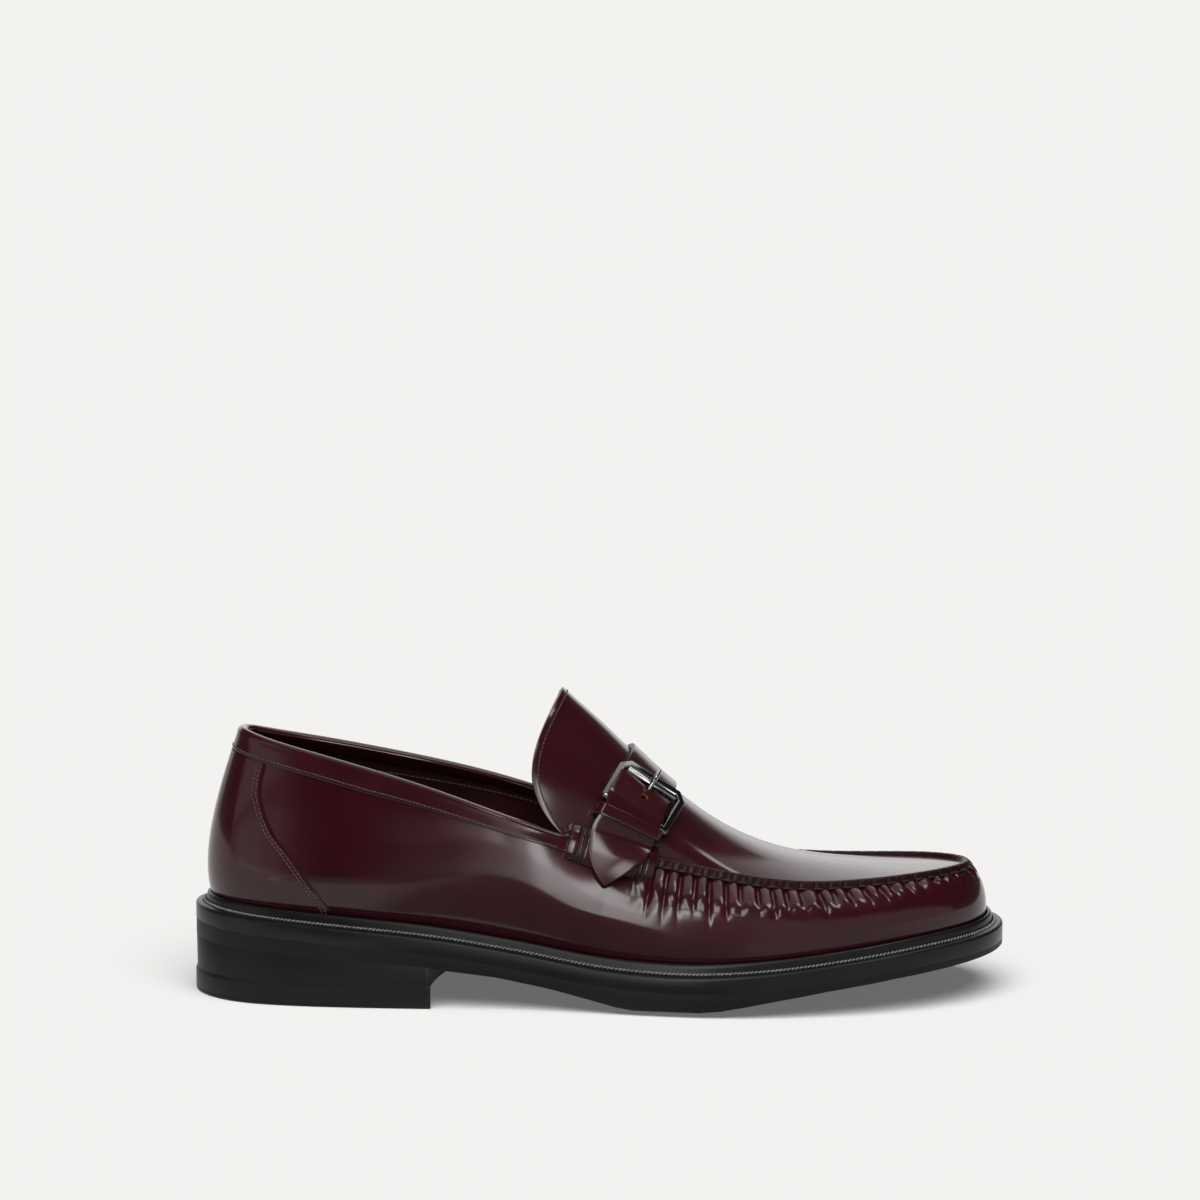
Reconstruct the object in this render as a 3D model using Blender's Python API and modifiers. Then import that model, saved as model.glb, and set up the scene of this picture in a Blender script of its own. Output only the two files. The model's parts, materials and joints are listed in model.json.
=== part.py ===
"""Right buckle loafer: moccasin-toe upper, apron running on as a tongue, block heel, strap and buckle.

+X points to the toe, -Y to the outer (lateral) side of the right foot, +Z up. Metres.
The origin is the middle of the footprint, on the plane that heel and forefoot stand on.
"""
import math

import bmesh
import bpy
import numpy as np
from mathutils import Matrix, Vector

MM = 0.001
GAP = 0.3 * MM  # between pieces that rest on each other

# ---- driving dimensions -------------------------------------------------------------------
WALL = 2.0 * MM  # upper leather and lining together
APRON_THICKNESS = 2.2 * MM
SOLE_INSET = 0.4 * MM  # the outsole's edge behind the shell's widest plan
WELT_LEDGE = 6.6 * MM  # from the sole's edge to the foot of the upper
WELT_HEIGHT = 4.0 * MM  # at its outer edge
RIDGE_HEIGHT = 4.0 * MM  # the welt's inner ridge above its outer edge
INSOLE_THICKNESS = 3.4 * MM
INSOLE_MARGIN = 9.3 * MM  # from the sole's edge to the insole's edge
TOP_PIECE_HEIGHT = 8.2 * MM  # rubber lift that the heel stands on
HEEL_STACK_INSET = 1.3 * MM
HEEL_BREAST_X = -58.8 * MM  # front face of the heel, on the middle line
HEEL_BREAST_SLANT = 3.8 * MM  # the medial corner stands this much further forward
HEEL_BREAST_HOLLOW = 4.5 * MM  # the breast is concave
HEEL_HALF_WIDTH = 32.0 * MM
STRAP_WIDTH = 19.5 * MM
STRAP_THICKNESS = 1.9 * MM
KEEPER_WIDTH = 4.0 * MM
KEEPER_THICKNESS = 1.3 * MM
KEEPER_SPAN = 24.5 * MM  # across the strap, outside
BUCKLE_WIDTH = 28.0 * MM  # across the strap, outside
BUCKLE_LENGTH = 20.4 * MM  # along the strap, outside
BUCKLE_BAR = 2.2 * MM
BUCKLE_DEPTH = 2.0 * MM
ROLLER_THICKNESS = 2.2 * MM

# The shoe's plan and the edge where the wall of the upper ends (apron seam, throat and collar),
# around the shoe from the toe, along the lateral side, to the heel and back.
# Columns: sole x, sole y, edge x, edge y, edge z.
SHELL = np.array([
    (151.0, 3.7, 136.8, 3.7, 46.0),  # toe
    (144.5, -16.8, 131.0, -9.3, 46.3),
    (127.0, -32.8, 116.0, -20.8, 46.0),
    (101.0, -44.3, 94.0, -27.8, 44.8),
    (68.0, -50.3, 67.0, -31.3, 45.0),  # lateral ball
    (34.0, -49.3, 36.0, -30.8, 50.0),
    (0.0, -43.3, 5.0, -31.3, 57.5),
    (-35.0, -37.8, -30.0, -34.3, 69.5),  # lateral waist
    (-70.0, -35.3, -64.0, -27.8, 80.5),
    (-105.0, -32.3, -97.0, -20.8, 89.3),
    (-132.0, -25.8, -119.0, -14.8, 94.6),
    (-146.5, -13.8, -130.0, -8.3, 97.4),
    (-151.0, -0.3, -133.2, -0.8, 98.2),  # heel
    (-146.5, 13.2, -130.0, 6.7, 97.2),
    (-132.0, 24.7, -119.0, 12.7, 94.2),
    (-105.0, 31.2, -97.0, 19.2, 89.2),
    (-70.0, 30.7, -64.0, 25.2, 81.4),
    (-35.0, 30.2, -30.0, 30.2, 71.5),  # medial arch
    (0.0, 35.7, 5.0, 29.2, 59.5),
    (35.0, 45.7, 36.0, 29.2, 50.0),
    (67.0, 50.7, 66.0, 30.7, 44.8),  # medial ball
    (100.0, 47.2, 95.0, 28.7, 43.8),
    (127.0, 37.2, 118.0, 22.2, 45.0),
    (144.5, 23.2, 132.0, 13.7, 45.8),
]) * MM

# How far the wall swells out and rises before it turns in to its edge, at eight places around.
# Columns: foot out, foot up, edge out, edge down.
SWELL = np.array([
    (0.5, 6.0, 5.5, 1.5),  # toe
    (3.0, 9.0, 8.5, 2.0),  # lateral forefoot
    (7.0, 14.0, 6.5, 8.0),  # lateral instep
    (8.0, 14.0, 6.5, 20.0),  # lateral heel
    (4.0, 16.0, 7.0, 20.0),  # heel
    (7.5, 14.0, 6.5, 20.0),  # medial heel
    (7.0, 16.0, 5.5, 12.0),  # medial arch
    (3.5, 9.0, 8.5, 2.0),  # medial forefoot
]) * MM

# Heights along the shoe. Columns: x, height.
WELT_EDGE = np.array([
    (-151.0, 33.6), (-100.0, 29.6), (-60.0, 25.8), (-30.0, 21.2), (0.0, 16.4),
    (30.0, 14.8), (60.0, 16.4), (90.0, 19.6), (120.0, 22.9), (151.0, 25.0),
]) * MM
TREAD = np.array([
    (-151.0, 21.2), (-100.0, 18.0), (-63.0, 15.3), (-38.0, 11.2), (-14.0, 5.6),
    (6.0, 0.8), (12.0, 0.0), (36.0, 0.0), (44.0, 0.8), (64.0, 4.6),
    (83.0, 7.8), (108.0, 11.0), (135.0, 13.6), (151.0, 15.0),
]) * MM
# The welt's section. Columns: inset from the sole's edge, height above the welt's outer edge.
WELT_SECTION = np.array([
    (0.6, -3.7), (0.6, -0.7), (1.2, 0.0), (2.6, 0.9), (3.3, 1.0),
    (4.3, 3.3), (5.0, 4.0), (5.8, 4.0), (6.2, 3.6), (6.2, -3.7),
]) * MM
EDGE_LIFT = 2.0 * MM  # the tread rises to its edge, crosswise, in the forefoot
EDGE_LIFT_WIDTH = 15.0 * MM

# The ridge line of apron and tongue, seen from the side. Columns: x, height.
INSTEP = np.array([
    (-17.0, 117.0), (-13.0, 113.0), (0.0, 101.0), (11.0, 90.2), (22.0, 79.8), (33.0, 70.6),
    (44.0, 62.8), (56.0, 56.0), (69.0, 50.8), (80.0, 48.2), (100.0, 46.4), (137.0, 46.2),
]) * MM
TONGUE_LATERAL_END = 6.52 / 24  # where the tongue's free edge leaves the wall, around the shell
TONGUE_MEDIAL_END = 17.48 / 24
TONGUE_LEAN = 1.0 * MM  # its top stands this much further back than its sides
TONGUE_SWEEP = 11.0 * MM  # the free edge bows back by this much between top and side
LEAN_START = 0.55  # row from which the tongue's top leans back
SWEEP_START = 0.86  # row from which the free edge starts to bow
SWEEP_LOW = 2.6  # the larger, the lower the bow lies
ARCH_START = 0.35  # row from which the flat apron turns into a round arch
ARCH_LENGTH = 0.4
ARCH_DROP = 0.45

# The strap, from its tip over the instep to the medial seam.
STRAP_TOP_ROW = 0.852  # where it crosses the middle of the instep
STRAP_LEAN = 0.075  # it lies this much further back at the seams
STRAP_TIP = -1.4
STRAP_END = 1.16
POINT_LENGTH = 0.42  # of its pointed tip, in steps across
# Height of the strap's underside over the skin. Columns: place across, height.
STRAP_LEVELS = np.array([
    (-1.5, 2.6), (-1.2, 3.0), (-0.98, 3.6), (-0.87, 4.0), (-0.745, 5.4), (-0.64, 5.4), (-0.42, 1.1),
    (-0.27, 0.4), (0.4, 0.4), (0.56, 2.4), (1.5, 2.6),
])
KEEPER_PLACE = -0.772
KEEPER_STRETCH = 46.0 * MM  # length along the skin of one step across
SADDLE_THICKNESS = 1.5 * MM
SADDLE_LEVEL = 0.4 * MM
SADDLE_TOP = 0.745  # place across where it starts, under the keeper
SADDLE_FOOT = 1.22
# Half the saddle's width. Columns: place across, half width.
SADDLE_SHAPE = ((0.82, 9.3), (0.89, 14.5), (1.0, 16.5), (1.12, 14.5), (1.22, 8.0))
BUCKLE_PLACE = -0.495
BUCKLE_RISE = 2.7 * MM  # of its middle over the skin
BUCKLE_TILT = math.radians(6)  # its upper bar is lifted by the strap beneath it
PRONG_THICKNESS = 1.3 * MM
# The prong, in the buckle's own frame. Columns: along the strap, height.
PRONG_PATH = np.array([
    (-7.6, -1.0), (-4.5, -1.5), (0.0, -1.75), (2.0, -1.6), (3.4, 0.4), (4.8, 2.6),
    (6.2, 3.3), (8.9, 3.5), (11.1, 3.2),
]) * MM
PRONG_HOLE = 3.6 * MM  # along the strap from the buckle's middle
PRONG_HOLE_WIDTH = 3.0 * MM
PRONG_HOLE_LENGTH = 4.6 * MM
SPARE_HOLE = -0.9 * MM
SPARE_HOLE_WIDTH = 2.8 * MM
BUCKLE_CORNER = 1.6 * MM  # cut off each outer corner
BUCKLE_INNER_CORNER = 0.6 * MM
BUCKLE_EDGE = 0.35 * MM
SEAM_BLEND = 0.4
SEAM_BRIDGE = 0.07

AROUND = 84  # steps around the shoe
WALL_LEVELS = (0.0, 0.1, 0.22, 0.36, 0.5, 0.64, 0.77, 0.89, 1.0)
APRON_ROWS = 40
APRON_COLUMNS = 14


# ---- curves and surfaces ------------------------------------------------------------------
def spline_control(rows):
    """The control points of a smooth closed curve that passes through the rows."""
    ring = np.eye(len(rows))
    weights = (4 * ring + np.roll(ring, 1, axis=0) + np.roll(ring, -1, axis=0)) / 6
    return np.linalg.solve(weights, rows)


def closed_spline(control, place):
    """A point of the closed curve; place runs from 0 to 1 around it."""
    count = len(control)
    step = (place % 1.0) * count
    first = int(step) % count
    f = step - int(step)
    basis = ((1 - f) ** 3, 3 * f**3 - 6 * f**2 + 4, -3 * f**3 + 3 * f**2 + 3 * f + 1, f**3)
    return sum(b * control[(first + k - 1) % count] for k, b in enumerate(basis)) / 6


def height_at(table, x):
    """A smooth height through a table of (x, height) rows."""
    xs, zs = table[:, 0], table[:, 1]
    x = min(max(x, xs[0]), xs[-1])
    slopes = np.gradient(zs, xs)
    k = min(max(int(np.searchsorted(xs, x)) - 1, 0), len(xs) - 2)
    width = xs[k + 1] - xs[k]
    f = (x - xs[k]) / width
    return ((2 * f**3 - 3 * f**2 + 1) * zs[k] + (f**3 - 2 * f**2 + f) * width * slopes[k]
            + (3 * f**2 - 2 * f**3) * zs[k + 1] + (f**3 - f**2) * width * slopes[k + 1])


def tread_height(x):
    """The tread is flat where it stands, so it is read in straight steps."""
    return float(np.interp(x, TREAD[:, 0], TREAD[:, 1]))


SHELL_CURVE = spline_control(SHELL)
SWELL_CURVE = spline_control(SWELL)


def outward(place):
    """The level direction that points away from the shoe at the sole's edge."""
    ahead = closed_spline(SHELL_CURVE, place + 0.002) - closed_spline(SHELL_CURVE, place - 0.002)
    direction = np.array((-ahead[1], ahead[0], 0.0))
    return direction / np.linalg.norm(direction)


def plan_point(place, inset):
    """A point of the sole's outline, moved in by inset."""
    return closed_spline(SHELL_CURVE, place)[:2] - outward(place)[:2] * inset


def wall_point(place, level):
    """A point of the upper's outer face: level 0 at the foot, 1 at the edge."""
    foot_x, foot_y = plan_point(place, WELT_LEDGE)
    foot = np.array((foot_x, foot_y, height_at(WELT_EDGE, foot_x) + RIDGE_HEIGHT + GAP))
    edge = closed_spline(SHELL_CURVE, place)[2:5]
    foot_out, foot_up, edge_out, edge_down = closed_spline(SWELL_CURVE, place)
    away = outward(place)
    lower = foot + away * foot_out + np.array((0, 0, foot_up))
    upper = edge + away * edge_out - np.array((0, 0, edge_down))
    rest = 1 - level
    return (rest**3 * foot + 3 * rest**2 * level * lower
            + 3 * rest * level**2 * upper + level**3 * edge)


def apron_edge(place):
    """The apron's or tongue's side edge, just inside the wall's edge."""
    lean = wall_point(place, 1.0) - wall_point(place, 0.98)
    steep = abs(lean[2]) / np.linalg.norm(lean)
    return wall_point(place, 1.0) - outward(place) * (WALL * steep + 2 * GAP)


def skin(row, across):
    """The outer face: row 0 at the toe, 1 at the tongue's free edge.

    across runs from -1 at the lateral seam over the instep to 1 at the medial one. Beyond that
    it runs down the wall, and reaches the welt at -2 or 2.
    """
    lateral_place = TONGUE_LATERAL_END * row
    medial_place = 1 - (1 - TONGUE_MEDIAL_END) * row
    if across < -1:
        return wall_point(lateral_place, 2 + across)
    if across > 1:
        return wall_point(medial_place, 2 - across)
    lateral, medial = apron_edge(lateral_place), apron_edge(medial_place)
    angle = across * math.pi / 2
    side = (1 + math.sin(angle)) / 2
    base = lateral * (1 - side) + medial * side
    middle = (lateral + medial) / 2
    back = max(0.0, row - LEAN_START) / (1 - LEAN_START)
    top_x = middle[0] - TONGUE_LEAN * back**2
    top = height_at(INSTEP, top_x)
    roundness = 1.0 - ARCH_DROP * min(1.0, max(0.0, (row - ARCH_START) / ARCH_LENGTH))
    rise = math.cos(angle) ** (2 * roundness)
    free = max(0.0, row - SWEEP_START) / (1 - SWEEP_START)
    sweep = TONGUE_SWEEP * free**2 * math.sin(math.pi * abs(across) ** SWEEP_LOW)
    x = base[0] + (top_x - middle[0]) * rise - sweep
    z = base[2] + (top - middle[2]) * rise
    return np.array((x, base[1], z))


def over_skin(row, across, height):
    """A point at a height over the outer face, with the step at the seam smoothed away."""
    step = 0.01
    inner = across if abs(abs(across) - 1) > step else math.copysign(1 + step, across)
    along = skin(row + step, inner) - skin(row - step, inner)
    over = skin(row, inner + step) - skin(row, inner - step)
    normal = np.cross(over, along)
    normal /= np.linalg.norm(normal)
    seam = max(0.0, 1 - abs(1 - abs(across)) / SEAM_BLEND) if abs(across) < 1 else 0.0
    return skin(row, across) + normal * (height + WALL * 1.15 * seam**2)


def strap_row(across):
    """The row that the strap's middle line crosses: it leans back as it goes down."""
    reach = min(1.0, abs(across))
    beyond = max(0.0, abs(across) - 1)
    return STRAP_TOP_ROW + STRAP_LEAN * (1 - math.cos(reach * math.pi / 2) + 0.35 * beyond)


def band_point(across, side, height):
    """A point of a band that follows the strap: side is measured towards the toe."""
    step = 0.01
    row, place = strap_row(across), across
    middle = over_skin(row, place, height)
    path = (over_skin(strap_row(across + step), across + step, height)
            - over_skin(strap_row(across - step), across - step, height))
    path /= np.linalg.norm(path)
    for _ in range(5):
        here = over_skin(row, place, height)
        along = (over_skin(row + step, place, height) - here) / step
        over = (over_skin(row, place + step, height) - here) / step
        normal = np.cross(over, along)
        width = np.cross(path, normal / np.linalg.norm(normal))
        width /= np.linalg.norm(width)
        miss = middle + width * side - here
        turn = np.array(((along @ width, over @ width), (along @ path, over @ path)))
        row_step, place_step = np.linalg.solve(turn, (miss @ width, miss @ path))
        row += row_step
        place += place_step
    return over_skin(row, place, height)


# ---- solids -------------------------------------------------------------------------------
def clear_scene():
    for old in list(bpy.data.objects):
        bpy.data.objects.remove(old, do_unlink=True)


def material(name, colour, roughness, metallic=0.0):
    made = bpy.data.materials.new(name)
    made.use_nodes = True
    shader = made.node_tree.nodes["Principled BSDF"]
    shader.inputs["Base Color"].default_value = (*colour, 1.0)
    shader.inputs["Roughness"].default_value = roughness
    shader.inputs["Metallic"].default_value = metallic
    return made


def finish(name, mesh_data, look, smooth_angle=None):
    """Turn a bmesh into a named object of the shoe."""
    bmesh.ops.recalc_face_normals(mesh_data, faces=mesh_data.faces)
    if mesh_data.calc_volume(signed=True) < 0:
        bmesh.ops.reverse_faces(mesh_data, faces=mesh_data.faces)
    mesh = bpy.data.meshes.new(name)
    mesh_data.to_mesh(mesh)
    mesh_data.free()
    mesh.materials.append(look)
    if smooth_angle:
        mesh.shade_smooth()
        mesh.set_sharp_from_angle(angle=smooth_angle)
    piece = bpy.data.objects.new(name, mesh)
    shoe.objects.link(piece)
    return piece


def sheet(name, grid, look, ring=False):
    """An open surface from rows of points; ring closes each row on itself."""
    made = bmesh.new()
    rows = [[made.verts.new(point) for point in row] for row in grid]
    for near, far in zip(rows, rows[1:]):
        columns = len(near) if ring else len(near) - 1
        for k in range(columns):
            n = (k + 1) % len(near)
            made.faces.new((near[k], near[n], far[n], far[k]))
    mesh = bpy.data.meshes.new(name)
    made.to_mesh(mesh)
    made.free()
    mesh.materials.append(look)
    mesh.shade_smooth()
    piece = bpy.data.objects.new(name, mesh)
    shoe.objects.link(piece)
    return piece


def thicken(piece, thickness, offset=-1.0):
    solid = piece.modifiers.new("thickness", "SOLIDIFY")
    solid.thickness = thickness
    solid.offset = offset
    solid.use_even_offset = True
    return piece


def plate(name, outline, stations, top, bottom, look, lift=0.0):
    """A plate with vertical edges whose two faces follow heights along the shoe.

    Where lift is given, the lower face rises by it towards the edge, in front of the heel.
    """
    made = bmesh.new()
    whole = made.faces.new([made.verts.new((x, y, 0.0)) for x, y in outline])
    if lift:
        whole.normal_update()
        bmesh.ops.inset_region(made, faces=[whole], thickness=EDGE_LIFT_WIDTH, use_even_offset=True,
                               use_boundary=True)
    for station in stations:
        everything = made.verts[:] + made.edges[:] + made.faces[:]
        bmesh.ops.bisect_plane(made, geom=everything, plane_co=(station, 0, 0), plane_no=(1, 0, 0), dist=1e-6)
    rim = made.verts.layers.int.new("rim")
    for vertex in made.verts:
        vertex[rim] = vertex.is_boundary
    under = bmesh.ops.extrude_face_region(made, geom=made.faces[:])
    lower = {v for v in under["geom"] if isinstance(v, bmesh.types.BMVert)}
    for vertex in made.verts:
        x = vertex.co.x
        rising = min(1.0, max(0.0, (x - HEEL_BREAST_X) / (40 * MM)))
        vertex.co.z = bottom(x) + lift * rising * vertex[rim] if vertex in lower else top(x)
    return finish(name, made, look, math.radians(35))


def outline_points(inset, steps=AROUND):
    return [plan_point(k / steps, inset) for k in range(steps)]


def heel_outline(inset):
    """The heel's plan: the sole's outline behind a slanting, slightly hollow breast."""
    def breast_x(y):
        aside = y / HEEL_HALF_WIDTH
        return HEEL_BREAST_X + HEEL_BREAST_SLANT * aside - HEEL_BREAST_HOLLOW * (1 - aside**2)
    behind = [point for point in outline_points(inset, 240) if point[0] < breast_x(point[1])]
    start = min(range(len(behind)), key=lambda k: behind[k][1] if behind[k][0] > -80 * MM else 1)
    behind = behind[start:] + behind[:start]
    behind = behind[::3] + [behind[-1]]
    lateral_y, medial_y = behind[0][1], behind[-1][1]
    breast = [(breast_x(y), y) for y in np.linspace(medial_y, lateral_y, 9)]
    return behind[1:-1] + breast


def welt_top(x):
    return height_at(WELT_EDGE, x)


def outsole_top(x):
    return welt_top(x) - WELT_HEIGHT


def make_sole():
    rubber = material("sole_rubber", (0.012, 0.012, 0.013), 0.45)
    dark = material("heel_rubber", (0.010, 0.010, 0.011), 0.5)
    cork = material("insole_board", (0.055, 0.012, 0.014), 0.7)
    stations = sorted(set(TREAD[:, 0][1:-1]) | set(np.linspace(-145, 147, 19) * MM))
    plate("outsole", outline_points(SOLE_INSET), stations, outsole_top, tread_height, rubber, EDGE_LIFT)
    heel_stations = np.linspace(-145, -66, 6) * MM
    plate("heel_stack", heel_outline(HEEL_STACK_INSET), heel_stations,
          lambda x: tread_height(x) - GAP, lambda x: TOP_PIECE_HEIGHT + GAP, dark)
    plate("top_piece", heel_outline(0.0), heel_stations[:1], lambda x: TOP_PIECE_HEIGHT, lambda x: 0.0, dark)
    plate("insole", outline_points(INSOLE_MARGIN, 60), stations,
          lambda x: outsole_top(x) + GAP + INSOLE_THICKNESS, lambda x: outsole_top(x) + GAP, cork)


def make_welt():
    """A strip all round on the outsole, sloping up to a stitched groove and an inner ridge."""
    grid = []
    for inset, rise in WELT_SECTION:
        ring = []
        for k in range(AROUND):
            x, y = plan_point(k / AROUND, inset)
            ring.append((x, y, welt_top(x) + rise))
        grid.append(ring)
    made = bmesh.new()
    rows = [[made.verts.new(point) for point in ring] for ring in grid]
    for near, far in zip(rows, rows[1:] + rows[:1]):
        for k in range(AROUND):
            n = (k + 1) % AROUND
            made.faces.new((near[k], near[n], far[n], far[k]))
    finish("welt", made, material("welt_rubber", (0.014, 0.014, 0.015), 0.4), math.radians(35))


def make_upper():
    leather = material("burgundy_leather", (0.075, 0.006, 0.012), 0.2)
    places = [k / AROUND for k in range(AROUND)]
    foot = []
    for place in places:
        x, y = plan_point(place, WELT_LEDGE)
        foot.append((x, y, outsole_top(x) + GAP))
    walls = [[wall_point(place, level) for place in places] for level in reversed(WALL_LEVELS)]
    upper = sheet("upper", walls + [foot], leather, ring=True)
    thicken(upper, WALL)

    rows = [0.012 + 0.988 * (k / APRON_ROWS) ** 1.25 for k in range(APRON_ROWS + 1)]
    columns = np.linspace(-1, 1, APRON_COLUMNS + 1)
    apron = sheet("apron_tongue", [[skin(row, c) for c in columns] for row in rows], leather)
    thicken(apron, APRON_THICKNESS)


def band(name, places, half_widths, levels, thickness, look, columns=6):
    """A strip of leather that follows the strap's line, given its half width at each place."""
    grid = []
    for across, half, level in zip(places, half_widths, levels):
        sides = np.linspace(-half, half, columns + 1)
        grid.append([band_point(across, side, level) for side in sides])
    return thicken(sheet(name, grid, look), thickness, offset=1.0)


def clear_of_seam(places):
    """The places without those so near the seam that a band bridges it there."""
    return [a for a in places if abs(abs(a) - 1) > SEAM_BRIDGE]


def strap_level(across):
    return float(np.interp(across, STRAP_LEVELS[:, 0], STRAP_LEVELS[:, 1])) * MM


def make_straps():
    leather = material("strap_leather", (0.075, 0.006, 0.012), 0.2)
    shoulder = STRAP_TIP + POINT_LENGTH
    places = np.concatenate((STRAP_TIP + POINT_LENGTH * np.linspace(0.0, 1.0, 9) ** 1.3,
                             np.linspace(shoulder, STRAP_END, 34)[1:]))
    places = clear_of_seam(places)
    halves = [STRAP_WIDTH / 2 * min(1.0, 0.06 + ((a - STRAP_TIP) / POINT_LENGTH) ** 0.72)
              for a in places]
    levels = [strap_level(a) for a in places]
    strap = band("buckle_strap", places, halves, levels, STRAP_THICKNESS, leather)

    for name, turn in (("saddle_lateral", -1), ("saddle_medial", 1)):
        places = clear_of_seam(turn * np.linspace(SADDLE_FOOT, SADDLE_TOP, 11))
        places = sorted(places)
        halves = [float(np.interp(abs(a), *zip(*SADDLE_SHAPE))) * MM for a in places]
        band(name, places, halves, [SADDLE_LEVEL] * len(places), SADDLE_THICKNESS, leather)
    make_keeper(leather)
    return strap


def strap_frame(across, height):
    """A matrix whose X lies across the strap towards the toe, Y along it upwards, Z outwards."""
    middle = Vector(band_point(across, 0.0, height))
    side = Vector(band_point(across, 6 * MM, height)) - Vector(band_point(across, -6 * MM, height))
    path = Vector(band_point(across + 0.05, 0.0, height)) - Vector(band_point(across - 0.05, 0.0, height))
    side.normalize()
    normal = side.cross(path).normalized()
    turned = Matrix((side, normal.cross(side), normal)).transposed().to_4x4()
    return Matrix.Translation(middle) @ turned


def make_keeper(leather):
    """A loop over the strap, open underneath, where its two ends are sewn in."""
    half = KEEPER_SPAN / 2 - KEEPER_THICKNESS / 2
    top = strap_level(KEEPER_PLACE) + STRAP_THICKNESS + 3 * GAP + KEEPER_THICKNESS / 2
    low = 3 * GAP
    corner = KEEPER_THICKNESS
    profile = [(-half, low), (-half, top - corner),
               (-half + 0.3 * corner, top - 0.3 * corner), (-half + corner, top)]
    profile += [(-side, height) for side, height in reversed(profile)]
    grid = []
    for shift in np.linspace(-KEEPER_WIDTH / 2, KEEPER_WIDTH / 2, 3):
        place = KEEPER_PLACE + shift / KEEPER_STRETCH
        grid.append([band_point(place, side, height) for side, height in profile])
    thicken(sheet("keeper", grid, leather), KEEPER_THICKNESS, offset=0.0)


def rounded_bar(name, start, end, thickness, look, place):
    """A straight metal bar between two points of the buckle's own frame."""
    start, end = Vector(start), Vector(end)
    made = bmesh.new()
    bmesh.ops.create_cone(made, cap_ends=True, segments=12, radius1=thickness / 2,
                          radius2=thickness / 2, depth=(end - start).length)
    turn = (end - start).to_track_quat("Z", "Y").to_matrix().to_4x4()
    made.transform(place @ Matrix.Translation((start + end) / 2) @ turn)
    return finish(name, made, look, math.radians(40))


def punch(strap, place, along, width, length):
    """Cut a hole through the strap, square to the buckle."""
    made = bmesh.new()
    bmesh.ops.create_cone(made, cap_ends=True, segments=12, radius1=1.0, radius2=1.0, depth=14 * MM)
    shape = Matrix.Diagonal((width / 2, length / 2, 1.0, 1.0))
    made.transform(place @ Matrix.Translation((0.0, along, 0.0)) @ shape)
    mesh = bpy.data.meshes.new("punch")
    made.to_mesh(mesh)
    made.free()
    cutter = bpy.data.objects.new("punch", mesh)
    cutter.hide_render = True
    cutter.display_type = "WIRE"
    cutters.objects.link(cutter)
    cut = strap.modifiers.new("hole", "BOOLEAN")
    cut.object = cutter


def make_prong(look, place):
    curve = bpy.data.curves.new("prong_path", "CURVE")
    curve.dimensions = "3D"
    curve.bevel_depth = PRONG_THICKNESS / 2
    curve.bevel_resolution = 2
    curve.use_fill_caps = True
    spline = curve.splines.new("POLY")
    spline.points.add(len(PRONG_PATH) - 1)
    for point, (along, height) in zip(spline.points, PRONG_PATH):
        point.co = (0.0, along, height, 1.0)
    line = bpy.data.objects.new("prong_path", curve)
    shoe.objects.link(line)
    bpy.context.view_layer.update()
    solid = bpy.data.meshes.new_from_object(line.evaluated_get(bpy.context.evaluated_depsgraph_get()))
    bpy.data.objects.remove(line, do_unlink=True)
    made = bmesh.new()
    made.from_mesh(solid)
    bmesh.ops.remove_doubles(made, verts=made.verts, dist=1e-6)
    made.transform(place)
    finish("buckle_prong", made, look, math.radians(40))


def make_buckle(strap):
    steel = material("gunmetal", (0.16, 0.16, 0.17), 0.18, 1.0)
    level = strap_frame(BUCKLE_PLACE, BUCKLE_RISE)
    punch(strap, level, PRONG_HOLE, PRONG_HOLE_WIDTH, PRONG_HOLE_LENGTH)
    punch(strap, level, SPARE_HOLE, SPARE_HOLE_WIDTH, SPARE_HOLE_WIDTH)
    place = level @ Matrix.Rotation(BUCKLE_TILT, 4, "X")
    make_prong(steel, level)
    outer_x, outer_y = BUCKLE_WIDTH / 2, BUCKLE_LENGTH / 2
    inner_x, inner_y = outer_x - BUCKLE_BAR, outer_y - BUCKLE_BAR
    made = bmesh.new()
    rings = []
    for half_x, half_y, cut in ((outer_x, outer_y, BUCKLE_CORNER),
                                (inner_x, inner_y, BUCKLE_INNER_CORNER)):
        ring = []
        for sx, sy in ((1, 1), (-1, 1), (-1, -1), (1, -1)):
            ends = [(sx * half_x, sy * (half_y - cut)), (sx * (half_x - cut), sy * half_y)]
            ring += ends if sx * sy > 0 else ends[::-1]
        rings.append(ring)
    outer, inner = rings
    low, high = -BUCKLE_DEPTH / 2, BUCKLE_DEPTH / 2
    loops = [[made.verts.new((x, y, z)) for x, y in ring]
             for ring, z in ((outer, low), (outer, high), (inner, high), (inner, low))]
    for near, far in zip(loops, loops[1:] + loops[:1]):
        for k in range(len(near)):
            n = (k + 1) % len(near)
            made.faces.new((near[k], near[n], far[n], far[k]))
    made.transform(place)
    frame = finish("buckle_frame", made, steel)
    edge = frame.modifiers.new("edge", "BEVEL")
    edge.width = BUCKLE_EDGE
    edge.segments = 1
    roller_y = inner_y - GAP - ROLLER_THICKNESS / 2
    end = inner_x - 3 * GAP
    rounded_bar("buckle_roller", (-end, roller_y, GAP), (end, roller_y, GAP),
                ROLLER_THICKNESS, steel, place)


clear_scene()
shoe = bpy.data.collections.new("buckle_loafer")
bpy.context.scene.collection.children.link(shoe)
make_sole()
make_welt()
make_upper()
cutters = bpy.data.collections.new("cutters")
bpy.context.scene.collection.children.link(cutters)
make_buckle(make_straps())
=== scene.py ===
import json
import math
import random

import bpy
import numpy as np
from mathutils import Matrix, Vector

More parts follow.
